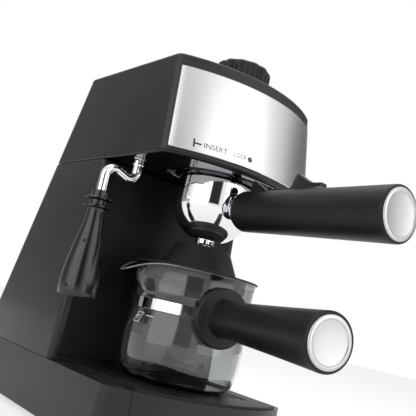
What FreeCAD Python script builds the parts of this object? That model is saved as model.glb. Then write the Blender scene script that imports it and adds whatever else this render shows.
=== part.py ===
import FreeCAD, Part
import Sketcher
import math
import os
import re

# Small steam-pressure espresso machine, an assembly of separate pieces.
# Frame: origin on the counter straight below the brew axis, +Z up,
# the front of the machine faces -Y, the steam wand stands on the -X side.

DIMS = """
foot_h 4
foot_r 8
foot_x 62
foot_front_y -38
foot_rear_y 180
base_half 82.5
base_top 44
base_front 66
base_rear 206
plate_t 2
wall 2.5
front_radius 122.6
front_corner 8
rear_corner 15
side_lean 0.037
rear_lean 0.262
column_lean 0.04
column_corner 5
head_bottom 204.5
head_top 281
under_recess 1
head_lean 0.19
front_room 5.7
boiler_room 19.2
column_room 3.5
cover_t 4
cover_hole_r 24
panel_t 1
panel_half 71.8
panel_bottom 210.5
panel_top 275
fit_gap 0.5
slide_gap 0.3
tray_floor 13
tray_half 65
tray_back 44
tray_wall 2.5
grid_t 2
grid_slot_w 4
grid_slot_n 11
grid_pitch 9
grid_inset 1
ramp_bottom 205.3
ramp_top 209.2
group_z 216
group_t 6
gasket_t 2.7
boiler_r 32
boiler_wall 3
boiler_h 46
neck_r 17
neck_wall 3
neck_top 290
element_tube 3.2
element_gap 0.2
element_z 226.5
screen_r 26
bowl_r 31
bowl_z 186
bowl_wall 2.2
bowl_rim 212.5
rim_flare 4.6
ear_reach 5.8
turn_gap 0.6
collar_wall 3.5
ramp_gap 1
ear_t 3
ear_w 20
spout_r 7.5
spout_in 5
spout_h 3.6
spout_drop 1
spout_slot 1.6
boss_r 6.8
boss_reach 0.8
ferrule_len 5.9
ferrule_r 5.2
grip_len 139
handle_r1 15.2
handle_r2 17.7
handle_z 181.7
handle_edge 5
bolt_r 3
cap_t 2.6
cap_r 16.4
basket_wall 0.6
basket_gap 1.8
basket_depth 22
basket_flange 0.8
guard_w 12
guard_back 14.3
guard_pin_r 1.6
guard_z 200
rest_gap 0.1
carafe_turn -9
carafe_r 47
carafe_foot_r 36
rim_z 130.3
lip_r 47.5
throat_r 46.2
glass_t 2
band_z 96.7
band_h 8.1
band_r 45
band_t 1
band_lug_y 48.2
band_lug_w 14
spout_reach 64
spout_dip 10
jug_z 102
flange_r 21.5
flange_t 5
grip_r1 12.6
grip_r2 17.5
grip_end 167
grip_cap_r 15.9
jug_bolt_r 2.5
lid_top_r 22
lid_top 151.2
lid_base_r 30
lid_step 3.4
lid_flange_z 131
lid_flange_r 48
lid_wall 2
lid_skirt_r 39
lid_skirt_h 9
lid_hole_r 8
wand_x 63.5
wand_y 20
wand_r 3.75
wand_low 184.5
wand_peak 191.5
wand_out 89.3
nut_r 5.6
nut_lip 0.6
sleeve_top 175.8
sleeve_bottom 94
sleeve_r1 6.2
sleeve_r2 14.5
sleeve_collar 10.5
sleeve_bore 4.1
sleeve_tilt 1.5
wand_tip 86
valve_x 46
valve_len 24
valve_r 8
valve_z 250
stem_r 3
knob_r 19
knob_t 20
knob_gap 1.5
pipe_r 3
pipe_gap 1
cap_knob_r 23
cap_knob_h 15
gland_x 45
gland_z 24
gland_r 10
gland_tube_r 6
gland_bore 3.6
gland_tail 20
gland_inset 8.76
screw_r 1.5
screw_head_r 3
lamp_r 3.5
lamp_x 48
lamp_y 4
vent_n 6
"""

# Sizes that follow from the ones above and a named clearance.
DERIVED = {
    "rim_r": "bowl_r + rim_flare",
    "ear_r": "rim_r + ear_reach",
    "collar_in": "ear_r + turn_gap",
    "collar_r": "collar_in + collar_wall",
    "ramp_in": "rim_r + ramp_gap",
    "boss_y": "bowl_r + boss_reach",
    "handle_y": "boss_y + ferrule_len",
    "handle_end": "handle_y + grip_len",
    "guard_y": "handle_y + guard_back",
    "spout_z": "bowl_z - bowl_r - spout_drop",
    "basket_r": "bowl_r - bowl_wall - basket_gap",
    "valve_y": "boiler_r + pipe_r + pipe_gap",
    "element_r": "boiler_r + element_tube + element_gap",
    "head_front": "max(collar_r + front_room; boiler_r + boiler_room)",
    "column_front": "collar_r + column_room",
    "gland_seat_y": "base_rear - rear_lean * (gland_z - foot_h) - gland_inset",
}

NAMES = [line.split()[0] for line in DIMS.strip().splitlines()]
PLANES = {"XY": "XY_Plane", "XZ": "XZ_Plane", "YZ": "YZ_Plane"}

doc = FreeCAD.newDocument("EspressoMachine")
sheet = doc.addObject("Spreadsheet::Sheet", "Sizes")
for row, line in enumerate(DIMS.strip().splitlines(), start=1):
    word, number = line.split()
    sheet.set("A%d" % row, word)
    sheet.set("B%d" % row, number)
    sheet.setAlias("B%d" % row, word)
doc.recompute()


def sized(text):
    """Write derived sizes out, then point every size word at the sheet."""
    word = r"[a-z_][a-z0-9_]*"
    text = str(text)
    while any(found in DERIVED for found in re.findall(word, text)):
        text = re.sub(word, lambda m: "(%s)" % DERIVED[m.group(0)]
                      if m.group(0) in DERIVED else m.group(0), text)
    return re.sub(word,
                  lambda m: "Sizes." + m.group(0) if m.group(0) in NAMES else m.group(0),
                  text)


def value(text):
    return float(sheet.evalExpression(sized(text)))


def place(obj, x="0", y="0", z="0", turn=None, axis=(0, 0, 1)):
    """Put a piece at its seat; the seat follows the sheet."""
    obj.Placement = FreeCAD.Placement(
        FreeCAD.Vector(value(x), value(y), value(z)),
        FreeCAD.Rotation(FreeCAD.Vector(*axis), value(turn) if turn else 0))
    for name, text in (("x", x), ("y", y), ("z", z)):
        obj.setExpression("Placement.Base." + name, sized(text))
    if turn:
        obj.setExpression("Placement.Rotation.Angle", sized(turn))


def piece(label, x="0", y="0", z="0", turn=None, axis=(0, 0, 1)):
    body = doc.addObject("PartDesign::Body", "Body_" + label)
    body.Label = label
    body.AllowCompound = True
    place(body, x, y, z, turn, axis)
    return body


def plane_of(body, name):
    return [f for f in body.Origin.OriginFeatures if f.Role == PLANES[name]][0]


def axis_of(body, name):
    return [f for f in body.Origin.OriginFeatures if f.Role == name + "_Axis"][0]


def pin_point(sk, geo, pos, x, y):
    """Fix one sketch point at a formula position."""
    for axis_id, kind, text in ((-2, "DistanceX", x), (-1, "DistanceY", y)):
        if str(text) == "0":
            sk.addConstraint(Sketcher.Constraint("PointOnObject", geo, pos, axis_id))
        else:
            number = sk.addConstraint(
                Sketcher.Constraint(kind, -1, 1, geo, pos, value(text)))
            sk.setExpression("Constraints[%d]" % number, sized(text))


def arc_between(a, b, radius, side):
    """Arc of a radius through two points; side +1 bulges right of travel."""
    half = (b - a).multiply(0.5)
    mid = a + half
    rise = math.sqrt(max(radius * radius - half.Length ** 2, 0.0))
    normal = FreeCAD.Vector(-half.y, half.x, 0).normalize()
    centre = mid + normal.multiply(rise * side)
    start = math.atan2(a.y - centre.y, a.x - centre.x)
    end = math.atan2(b.y - centre.y, b.x - centre.x)
    circle = Part.Circle(centre, FreeCAD.Vector(0, 0, 1), radius)
    if side > 0:
        return Part.ArcOfCircle(circle, start, end)
    return Part.ArcOfCircle(circle, end, start)


def loop(sk, points):
    """Closed outline; a point (x, y, r, side) starts an arc to the next one."""
    spots = [FreeCAD.Vector(value(p[0]), value(p[1]), 0) for p in points]
    geos = []
    for i, point in enumerate(points):
        a = spots[i]
        b = spots[(i + 1) % len(points)]
        if len(point) > 2:
            radius = value(point[2])
            geo = sk.addGeometry(arc_between(a, b, radius, point[3]))
            number = sk.addConstraint(Sketcher.Constraint("Radius", geo, radius))
            sk.setExpression("Constraints[%d]" % number, sized(point[2]))
            geos.append((geo, 1, 2) if point[3] > 0 else (geo, 2, 1))
        else:
            geos.append((sk.addGeometry(Part.LineSegment(a, b)), 1, 2))
    for i, (geo, first, last) in enumerate(geos):
        after = geos[(i + 1) % len(geos)]
        sk.addConstraint(Sketcher.Constraint("Coincident", geo, last, after[0], after[1]))
        pin_point(sk, geo, first, points[i][0], points[i][1])


def ring(sk, x, y, r):
    geo = sk.addGeometry(Part.Circle(
        FreeCAD.Vector(value(x), value(y), 0), FreeCAD.Vector(0, 0, 1), value(r)))
    pin_point(sk, geo, 3, x, y)
    number = sk.addConstraint(Sketcher.Constraint("Radius", geo, value(r)))
    sk.setExpression("Constraints[%d]" % number, sized(r))


def sketch(body, plane="XY", level="0", loops=(), rings=()):
    sk = body.newObject("Sketcher::SketchObject", "Sketch")
    sk.AttachmentSupport = [(plane_of(body, plane), "")]
    sk.MapMode = "FlatFace"
    if str(level) != "0":
        sk.AttachmentOffset = FreeCAD.Placement(
            FreeCAD.Vector(0, 0, value(level)), FreeCAD.Rotation())
        sk.setExpression("AttachmentOffset.Base.z", sized(level))
    for points in loops:
        loop(sk, points)
    for x, y, r in rings:
        ring(sk, x, y, r)
    return sk


def bind(feature, name, text):
    setattr(feature, name, value(text))
    feature.setExpression(name, sized(text))


def pad(body, length, plane="XY", level="0", loops=(), rings=(), back=False):
    feature = body.newObject("PartDesign::Pad", "Pad")
    feature.Profile = sketch(body, plane, level, loops, rings)
    bind(feature, "Length", length)
    feature.Reversed = back
    return feature


def pocket(body, length, plane="XY", level="0", loops=(), rings=(), up=False):
    """Cut along the sketch normal when up is set, against it otherwise."""
    feature = body.newObject("PartDesign::Pocket", "Pocket")
    feature.Profile = sketch(body, plane, level, loops, rings)
    bind(feature, "Length", length)
    feature.Reversed = up
    return feature


def spin(body, points, plane="XZ", cut=False, rings=()):
    """Turn a half profile about the sketch's vertical axis."""
    kind = "PartDesign::Groove" if cut else "PartDesign::Revolution"
    feature = body.newObject(kind, "Turned")
    sk = sketch(body, plane, "0", [points] if points else [], rings)
    feature.Profile = sk
    feature.ReferenceAxis = (sk, ["V_Axis"])
    feature.Angle = 360
    return feature


def loft(body, low, low_z, high, high_z, cut=False, plane="XY"):
    kind = "PartDesign::SubtractiveLoft" if cut else "PartDesign::AdditiveLoft"
    first = sketch(body, plane, low_z, [low])
    second = sketch(body, plane, high_z, [high])
    feature = body.newObject(kind, "Loft")
    feature.Profile = first
    feature.Sections = [(second, [""])]
    feature.Ruled = True
    return feature


def tube_path(body, plane, level, path, radius, at, cut=False):
    """Round bar along an open path of straight lengths with mitred bends."""
    spine = body.newObject("Sketcher::SketchObject", "Path")
    spine.AttachmentSupport = [(plane_of(body, plane), "")]
    spine.MapMode = "FlatFace"
    if str(level) != "0":
        spine.AttachmentOffset = FreeCAD.Placement(
            FreeCAD.Vector(0, 0, value(level)), FreeCAD.Rotation())
        spine.setExpression("AttachmentOffset.Base.z", sized(level))
    spots = [FreeCAD.Vector(value(p[0]), value(p[1]), 0) for p in path]
    geos = []
    for i in range(len(path) - 1):
        geos.append(spine.addGeometry(Part.LineSegment(spots[i], spots[i + 1])))
    for i, geo in enumerate(geos):
        pin_point(spine, geo, 1, path[i][0], path[i][1])
        if i + 1 < len(geos):
            spine.addConstraint(Sketcher.Constraint("Coincident", geo, 2, geos[i + 1], 1))
    pin_point(spine, geos[-1], 2, path[-1][0], path[-1][1])
    doc.recompute()
    kind = "PartDesign::SubtractivePipe" if cut else "PartDesign::AdditivePipe"
    section = sketch(body, at[0], at[1], [], [(at[2], at[3], radius)])
    feature = body.newObject(kind, "Pipe")
    feature.Profile = section
    feature.Spine = (spine, ["Edge%d" % (n + 1) for n in range(len(geos))])
    feature.Transition = "Round corner"
    return feature


def around(body, feature, count, angle="360"):
    pattern = body.newObject("PartDesign::PolarPattern", "Around")
    pattern.Originals = [feature]
    pattern.Axis = (axis_of(body, "Z"), [""])
    pattern.Angle = value(angle)
    pattern.Occurrences = int(count)
    body.Tip = pattern
    return pattern


def row_of(body, feature, axis, length, count):
    pattern = body.newObject("PartDesign::LinearPattern", "Row")
    pattern.Originals = [feature]
    pattern.Direction = (axis_of(body, axis), [""])
    bind(pattern, "Length", length)
    pattern.Occurrences = int(value(count))
    body.Tip = pattern
    return pattern


def box(x0, x1, y0, y1):
    return [(x0, y0), (x1, y0), (x1, y1), (x0, y1)]


def plan(half, mid, rear, inset="0"):
    """Plan outline of the housing: bowed front, straight sides, square rear."""
    big = "(front_radius - (%s))" % inset
    h = "(%s - (%s))" % (half, inset)
    yc = "(front_radius - (%s))" % mid
    back = "(%s - (%s))" % (rear, inset)
    small = "(front_corner - (%s))" % inset if inset != "0" else "front_corner"
    rc = "(rear_corner - (%s))" % inset if inset != "0" else "rear_corner"
    reach = "sqrt((%s - %s) ^ 2 - (%s - %s) ^ 2)" % (big, small, h, small)
    side_y = "(%s - %s)" % (yc, reach)
    scale = "(%s / (%s - %s))" % (big, big, small)
    arc_x = "((%s - %s) * %s)" % (h, small, scale)
    arc_y = "(%s - %s * %s)" % (yc, reach, scale)
    return [(arc_x, arc_y, small, 1), (h, side_y), (h, "%s - %s" % (back, rc), rc, 1),
            ("%s - %s" % (h, rc), back), ("-(%s - %s)" % (h, rc), back, rc, 1),
            ("-" + h, "%s - %s" % (back, rc)), ("-" + h, side_y, small, 1),
            ("-" + arc_x, arc_y, big, 1)]


def block_plan(half, front, rear, inset="0"):
    """Plan outline with a flat front and rounded corners."""
    h = "(%s - (%s))" % (half, inset)
    f = "(%s + (%s))" % (front, inset)
    b = "(%s - (%s))" % (rear, inset)
    fc = "(column_corner - (%s))" % inset
    rc = "(rear_corner - (%s))" % inset
    return [("%s - %s" % (h, fc), f, fc, 1), (h, "%s + %s" % (f, fc)),
            (h, "%s - %s" % (b, rc), rc, 1), ("%s - %s" % (h, rc), b),
            ("-(%s - %s)" % (h, rc), b, rc, 1), ("-" + h, "%s - %s" % (b, rc)),
            ("-" + h, "%s + %s" % (f, fc), fc, 1), ("-(%s - %s)" % (h, fc), f)]


def half_at(z):
    return "(base_half - side_lean * ((%s) - foot_h))" % z


def rear_at(z):
    return "(base_rear - rear_lean * ((%s) - foot_h))" % z


def front_at(z):
    return "(head_front - head_lean * ((%s) - head_bottom))" % z


def column_at(z):
    return "(column_front + column_lean * ((%s) - base_top))" % z


# ---------------------------------------------------------------- the base
DECK = "(base_top - wall)"
FEET = [("foot_x", "foot_front_y"), ("-foot_x", "foot_front_y"),
        ("foot_x", "foot_rear_y"), ("-foot_x", "foot_rear_y")]
BOSSES = [("foot_x - 18", "foot_front_y + 12"), ("-(foot_x - 18)", "foot_front_y + 12"),
          ("foot_x - 18", "foot_rear_y - 14"), ("-(foot_x - 18)", "foot_rear_y - 14")]

base = piece("base_shell")
loft(base, plan(half_at("foot_h"), "base_front", rear_at("foot_h")), "foot_h",
     plan(half_at("base_top"), "base_front", rear_at("base_top")), "base_top")
inner_low = plan(half_at("base_top"), "base_front", rear_at("base_top"), "wall")
pocket(base, "plate_t + fit_gap", "XY", "foot_h", [inner_low], up=True)
pocket(base, "tray_floor - wall - foot_h - plate_t", "XY", "foot_h + plate_t",
       [inner_low], [(x, y, "screw_r * 3") for x, y in BOSSES[:2]], up=True)
pocket(base, "base_top - wall - foot_h - plate_t", "XY", "foot_h + plate_t",
       [box("-(base_half - 12)", "base_half - 12", "tray_back + wall + fit_gap",
            rear_at("base_top") + " - rear_corner")],
       [(x, y, "screw_r * 3") for x, y in BOSSES[2:]], up=True)
pocket(base, "base_top - tray_floor", "XY", "tray_floor",
       [box("-(tray_half + slide_gap)", "tray_half + slide_gap", "-(base_front + 30)",
            "tray_back + slide_gap")], up=True)
pocket(base, "wall * 4", "XY", "base_top - wall * 2",
       [box("-40", "40", "column_front + 12", rear_at("base_top") + " - 40")], up=True)
pocket(base, "tray_floor - foot_h", "XY", "foot_h", [],
       [(x, y, "screw_r") for x, y in BOSSES[:2]], up=True)
pocket(base, "base_top - foot_h - wall * 2", "XY", "foot_h", [],
       [(x, y, "screw_r") for x, y in BOSSES[2:]], up=True)
pocket(base, "60", "XZ", "-gland_seat_y", [], [("gland_x", "gland_z", "gland_r + 1")])
pocket(base, "40", "XZ", "-(gland_seat_y + 20)", [],
       [("gland_x", "gland_z", "gland_tube_r")], up=True)

plate = piece("base_plate")
pad(plate, "plate_t", "XY", "foot_h",
    [plan(half_at("base_top"), "base_front", rear_at("base_top"), "wall + fit_gap")],
    [(x, y, "foot_r / 2") for x, y in FEET] + [(x, y, "screw_r") for x, y in BOSSES])
vents = pocket(plate, "plate_t * 2", "XY", "foot_h - fit_gap",
               [box("-30", "30", "80", "83")], up=True)
row_of(plate, vents, "Y", "50", "vent_n")

feet = piece("rubber_feet")
pad(feet, "foot_h", "XY", "0", [], [(x, y, "foot_r") for x, y in FEET])
pad(feet, "plate_t + 2", "XY", "foot_h", [], [(x, y, "foot_r / 2") for x, y in FEET])

screws = piece("base_screws")
pad(screws, "screw_r", "XY", "foot_h - screw_r", [],
    [(x, y, "screw_head_r") for x, y in BOSSES])
pad(screws, "tray_floor - foot_h - wall", "XY", "foot_h", [],
    [(x, y, "screw_r") for x, y in BOSSES])

# ------------------------------------------------------- drip tray and grid
TRAY_ARC = "(front_radius - base_front - sqrt(front_radius ^ 2 - (%s) ^ 2))"
tray = piece("drip_tray")
pad(tray, "base_top - tray_floor - slide_gap", "XY", "tray_floor + slide_gap",
    [[("tray_half", "tray_back"), ("-tray_half", "tray_back"),
      ("-tray_half", TRAY_ARC % "tray_half", "front_radius", 1),
      ("tray_half", TRAY_ARC % "tray_half")]])
pocket(tray, "base_top", "XY", "tray_floor + slide_gap + tray_wall",
       [[("tray_half - tray_wall", "tray_back - tray_wall"),
         ("-(tray_half - tray_wall)", "tray_back - tray_wall"),
         ("-(tray_half - tray_wall)", TRAY_ARC % "tray_half" + "+ tray_wall",
          "front_radius", 1),
         ("tray_half - tray_wall", TRAY_ARC % "tray_half" + "+ tray_wall")]], up=True)
pocket(tray, "2.5", "XZ", "base_front - 12",
       [box("-22", "22", "tray_floor", "tray_floor + 7")], up=False)

grid = piece("drip_grid")
INSET = "(tray_half - grid_inset)"
pad(grid, "grid_t", "XY", "base_top",
    [[(INSET, "tray_back - grid_inset"), ("-" + INSET, "tray_back - grid_inset"),
      ("-" + INSET, TRAY_ARC % INSET + "+ grid_inset", "front_radius", 1),
      (INSET, TRAY_ARC % INSET + "+ grid_inset")]])
pad(grid, "4", "XY", "base_top - 4",
    [box("-(tray_half - 6)", "tray_half - 6", "-24", "tray_back - 6"),
     box("-(tray_half - 8)", "tray_half - 8", "-22", "tray_back - 8")])
slot = pocket(grid, "grid_t * 3", "XY", "base_top - grid_t",
              [box("-(grid_pitch * 5 + grid_slot_w / 2)",
                   "-(grid_pitch * 5 - grid_slot_w / 2)", "-34", "tray_back - 10")],
              up=True)
row_of(grid, slot, "X", "grid_pitch * 10", "grid_slot_n")

# ------------------------------------------------------ column and its rear
column = piece("column_shell")
loft(column, block_plan(half_at("base_top"), column_at("base_top"), rear_at("base_top")),
     "base_top",
     block_plan(half_at("head_bottom"), column_at("head_bottom"), rear_at("head_bottom")),
     "head_bottom")
loft(column, block_plan(half_at("base_top"), column_at("base_top"),
                        rear_at("base_top"), "wall"), "base_top",
     block_plan(half_at("head_bottom"), column_at("head_bottom"),
                rear_at("head_bottom"), "wall"), "head_bottom", cut=True)

gland = piece("cord_gland", "gland_x", "gland_seat_y", "gland_z")
pad(gland, "wall", "XZ", "0", [], [("0", "0", "gland_r")], back=True)
pad(gland, "8", "XZ", "0", [], [("0", "0", "gland_tube_r")])
pad(gland, "gland_tail", "XZ", "0", [], [("0", "0", "gland_tube_r")], back=True)
pocket(gland, "60", "XZ", "30", [], [("0", "0", "gland_bore")], up=False)

terminal = piece("terminal_block", "0", "140", "foot_h + plate_t")
pad(terminal, "14", "XY", "0", [box("-24", "24", "-9", "9")])
pocket(terminal, "9", "XY", "14", [], [("-16", "0", "3"), ("-5", "0", "3"),
                                       ("5", "0", "3"), ("16", "0", "3")])

loom = piece("wiring_loom")
tube_path(loom, "YZ", "0",
          [("130", "20"), ("130", "50"), ("98", "196"), ("84", "232"), ("48", "232")],
          "2.6", ("XY", "20", "0", "130"))

# ------------------------------------------------------------- head housing
head = piece("head_housing")
loft(head, plan(half_at("head_bottom"), front_at("head_bottom"), rear_at("head_bottom")),
     "head_bottom",
     plan(half_at("head_top"), front_at("head_top"), rear_at("head_top")), "head_top")
loft(head, plan(half_at("head_bottom"), front_at("head_bottom"),
                rear_at("head_bottom"), "wall"), "head_bottom",
     plan(half_at("head_top"), front_at("head_top"), rear_at("head_top"), "wall"),
     "head_top", cut=True)
pocket(head, "60", "YZ", "40", [], [("valve_y", "valve_z", "stem_r + fit_gap")], up=True)
pocket(head, "60", "YZ", "40", [],
       [("valve_y + 26", "head_bottom + 22", "screw_r")], up=True)

underside = piece("head_underside")
UNDER_Z = "(head_bottom + under_recess)"
pad(underside, "wall", "XY", UNDER_Z,
    [plan(half_at("head_bottom + under_recess + wall"), front_at("head_bottom + under_recess + wall"),
          column_at("head_bottom"), "wall + fit_gap")[0:2]
     + [(half_at("head_bottom + under_recess + wall") + "- wall - fit_gap", column_at("head_bottom")),
        ("-(" + half_at("head_bottom + under_recess + wall") + "- wall - fit_gap)",
         column_at("head_bottom"))]
     + plan(half_at("head_bottom + under_recess + wall"), front_at("head_bottom + under_recess + wall"),
            column_at("head_bottom"), "wall + fit_gap")[6:8]],
    [("0", "0", "collar_r + slide_gap"), ("-wand_x", "wand_y", "nut_r")])

panel = piece("front_panel")


def strip(z):
    """Bowed strip section of the steel front at one height."""
    out = "(front_radius + panel_t)"
    half = "(panel_half - side_lean * ((%s) - panel_bottom))" % z
    yc = "(front_radius - %s)" % front_at(z)
    outer_y = "(%s - sqrt(%s ^ 2 - %s ^ 2))" % (yc, out, half)
    inner_y = "(%s - sqrt(front_radius ^ 2 - %s ^ 2))" % (yc, half)
    return [("-" + half, outer_y, out, 1), (half, outer_y),
            (half, inner_y, "front_radius", -1), ("-" + half, inner_y)]


loft(panel, strip("panel_bottom"), "panel_bottom", strip("panel_top"), "panel_top")

cover = piece("top_cover")
cover_pad = pad(cover, "cover_t", "XY", "head_top",
                [plan(half_at("head_top"), front_at("head_top"), rear_at("head_top"))],
                [("0", "0", "cover_hole_r + fit_gap"), ("lamp_x", "lamp_y", "lamp_r")])
doc.recompute()
rim_edges = []
for number, edge in enumerate(cover_pad.Shape.Edges, start=1):
    box_of = edge.BoundBox
    level = box_of.ZMin > value("head_top + cover_t") - 0.01
    spread = math.hypot(max(abs(box_of.XMin), abs(box_of.XMax)),
                        max(abs(box_of.YMin), abs(box_of.YMax)))
    round_hole = edge.Curve.TypeId == "Part::GeomCircle" and edge.Closed
    if level and not round_hole and spread > value("cover_hole_r"):
        rim_edges.append("Edge%d" % number)
soft = cover.newObject("PartDesign::Fillet", "SoftRim")
soft.Base = (cover_pad, rim_edges)
bind(soft, "Radius", "cover_t / 2")
cover.Tip = soft

lamp = piece("indicator_lamp", "lamp_x", "lamp_y", "head_top")
spin(lamp, [("0", "-3"), ("lamp_r", "-3"), ("lamp_r", "cover_t"),
            ("lamp_r * 0.5", "cover_t + 1.2"), ("0", "cover_t + 1.4")])

house_screws = piece("housing_screws", "0", "valve_y + 26", "head_bottom + 22")
HS = "(%s - wall)" % half_at("head_bottom + 22")
pad(house_screws, "wall + 8", "YZ", HS + " - 5", [], [("0", "0", "screw_r")])
pad(house_screws, "1.6", "YZ", HS + " + wall + 0.15", [], [("0", "0", "screw_head_r")])

# ------------------------------------------------------- brew group, boiler
group = piece("brew_head")
GT = "(group_z + group_t)"
spin(group, [("0", "group_z"), ("collar_in", "group_z"), ("collar_in", "head_bottom"),
             ("collar_r", "head_bottom"), ("collar_r", "group_z"), ("collar_in", "group_z + 1"),
             ("collar_in", GT), ("0", GT)])
ramp = pad(group, "ramp_top - ramp_bottom", "XY", "ramp_bottom",
           [[("ramp_in * cos(30)", "-ramp_in * sin(30)"),
             ("(collar_in + 1) * cos(30)", "-(collar_in + 1) * sin(30)",
              "collar_in + 1", 1),
             ("(collar_in + 1) * cos(50)", "(collar_in + 1) * sin(50)"),
             ("ramp_in * cos(50)", "ramp_in * sin(50)", "ramp_in", -1)]])
around(group, ramp, 2)
water = pocket(group, "group_t * 2", "XY", "group_z - 1", [], [("12", "0", "screw_r")],
               up=True)
around(group, water, 6)
pocket(group, "group_t - 1", "XY", "group_z", [], [("0", "0", "screw_r")], up=True)

boiler = piece("boiler")
TOP = "(%s + boiler_h)" % GT
spin(boiler, [("0", GT), ("boiler_r", GT), ("boiler_r", TOP + "- 4"),
              ("boiler_r - 4", TOP), ("neck_r", TOP), ("neck_r", "neck_top"),
              ("neck_r - neck_wall", "neck_top"),
              ("neck_r - neck_wall", TOP + "- boiler_wall"),
              ("boiler_r - boiler_wall", TOP + "- boiler_wall - 3"),
              ("boiler_r - boiler_wall", GT + "+ boiler_wall"),
              ("0", GT + "+ boiler_wall")])
drain = pocket(boiler, "boiler_wall * 2", "XY", GT + "- 1", [],
               [("12", "0", "screw_r")], up=True)
around(boiler, drain, 6)

element = piece("heating_element", "0", "0", "element_z")
spin(element, [], rings=[("element_r", "0", "element_tube")])
pocket(element, "element_tube * 4", "XY", "-element_tube * 2",
       [box("-5", "5", "boiler_r - 6", "element_r + 8")], up=True)

thermostat = piece("thermostat", "boiler_r - 8", "0", TOP)
pad(thermostat, "5", "XY", "0", [], [("0", "0", "4")])
pad(thermostat, "1", "XY", "5", [box("-3", "3", "-1", "1")])

fuse = piece("thermal_fuse", "-(boiler_r - 8)", "0", TOP)
pad(fuse, "12", "XZ", "-6", [], [("0", "2", "2")])
pad(fuse, "24", "XZ", "-12", [], [("0", "2", "0.6")])

gasket = piece("group_gasket", "0", "0", "group_z - gasket_t")
spin(gasket, [("screen_r + 2.2", "0"), ("rim_r - 0.3", "0"), ("rim_r - 0.3", "gasket_t"),
              ("screen_r + 2.2", "gasket_t")])

screen = piece("shower_screen", "0", "0", "group_z")
spin(screen, [("0", "-2.4"), ("screen_r - 1", "-2.4"), ("screen_r", "-1.4"),
              ("screen_r", "0"), ("screen_r - 0.8", "0"), ("screen_r - 0.8", "-1.6"),
              ("0", "-1.6")])
pocket(screen, "8", "XY", "-4", [], [("0", "0", "screw_r")], up=True)
for ring_n, holes in ((7, 8), (13, 14), (19, 20)):
    hole = pocket(screen, "8", "XY", "-4", [], [(str(ring_n), "0", "0.7")], up=True)
    around(screen, hole, holes)

screen_screw = piece("screen_screw", "0", "0", "group_z")
spin(screen_screw, [("0", "-4"), ("3.4", "-4"), ("3.8", "-3.4"), ("3.8", "-2.4"),
                    ("screw_r", "-2.4"), ("screw_r", "group_t - 2"),
                    ("0", "group_t - 2")])
pocket(screen_screw, "0.8", "XY", "-4", [box("-3", "3", "-0.4", "0.4")], up=True)

# --------------------------------------------------------------- steam line
valve = piece("steam_valve", "valve_x", "valve_y", "valve_z")
pad(valve, "valve_len", "YZ", "0", [], [("0", "0", "valve_r")])
pad(valve, "5", "YZ", "-5", [], [("0", "0", "pipe_r + 2")])
pad(valve, "5", "XY", "-(valve_r + 4)", [], [("12", "0", "pipe_r + 2")])
pocket(valve, "valve_len - 6", "YZ", "6", [], [("0", "0", "stem_r + slide_gap")], up=True)

steam_pipe = piece("steam_pipe", "0", "valve_y", "0")
ACROSS = [("valve_x - 5", "valve_z"), ("-(wand_x + pipe_r)", "valve_z")]
tube_path(steam_pipe, "XZ", "0", ACROSS, "pipe_r", ("YZ", "valve_x - 5", "0", "valve_z"))
DOWN = [("0", "valve_z + pipe_r"), ("0", UNDER_Z + " + 34"),
        ("wand_y - valve_y", UNDER_Z + " + 20"), ("wand_y - valve_y", UNDER_Z + " + 12")]
tube_path(steam_pipe, "YZ", "-wand_x", DOWN, "pipe_r",
          ("XY", "valve_z + pipe_r", "-wand_x", "0"))

inlet = piece("valve_inlet_pipe", "valve_x + 12", "valve_y", "0", "atan2(-valve_y; -(valve_x + 12))")
RUN = "(sqrt((valve_x + 12) ^ 2 + valve_y ^ 2) - boiler_r)"
tube_path(inlet, "XZ", "0", [("0", "valve_z - valve_r - 4"), ("0", "valve_z - 17"),
                             (RUN + " - 0.2", "valve_z - 17")],
          "pipe_r - 0.6", ("XY", "valve_z - valve_r - 4", "0", "0"))

wand_nut = piece("wand_nut", "-wand_x", "wand_y", UNDER_Z)
spin(wand_nut, [("wand_r + slide_gap", "-1.6"), ("nut_r + nut_lip", "-1.6"),
                ("nut_r + nut_lip", "0"), ("nut_r", "0"), ("nut_r", "8"),
                ("nut_r - 2.4", "12"), ("0", "12"), ("0", "10"),
                ("wand_r + slide_gap", "10")])

# The wand leaves its nut, cranks outwards and hangs down beside the column.
wand = piece("steam_wand", "-wand_x", "wand_y", "0")
OUT = "-(wand_out - wand_x)"
ROUTE = [("0", UNDER_Z + " + 8"), ("0", "wand_low"), (OUT, "wand_peak"),
         (OUT + " + (wand_peak - wand_tip) * tan(sleeve_tilt)", "wand_tip")]
tube_path(wand, "XZ", "0", ROUTE, "wand_r", ("XY", UNDER_Z + " + 8", "0", "0"))

sleeve = piece("frothing_sleeve", OUT + " - wand_x", "wand_y", "wand_peak",
               "-sleeve_tilt", (0, 1, 0))
S1 = "(sleeve_top - wand_peak)"
S2 = "(sleeve_bottom - wand_peak)"
spin(sleeve, [("sleeve_bore", S1), ("sleeve_r1 - 1", S1), ("sleeve_r1", S1 + "- 1"),
              ("sleeve_r1", S1 + "- 6"), ("sleeve_collar", S1 + "- 6.6"),
              ("sleeve_collar", S1 + "- 8"), ("sleeve_r1", S1 + "- 8.6"),
              ("sleeve_r1", S1 + "- 12"), ("sleeve_collar", S1 + "- 12.6"),
              ("sleeve_collar", S1 + "- 14"), ("sleeve_r1", S1 + "- 15"),
              ("sleeve_r1 + 0.2", S1 + "- 19"), ("sleeve_r2 - 5.7", S1 + "- 33"),
              ("sleeve_r2 - 2.7", S1 + "- 50"), ("sleeve_r2", S1 + "- 68"),
              ("sleeve_r2", S2 + "+ 1"), ("sleeve_r2 - 0.6", S2), ("sleeve_r2 - 2", S2),
              ("sleeve_bore + 2", S2 + " + 26"), ("sleeve_bore", S2 + " + 34")])
pocket(sleeve, "40", "XZ", "0", [], [("0", S2 + " + 40", "1.2")], up=True)

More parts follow.
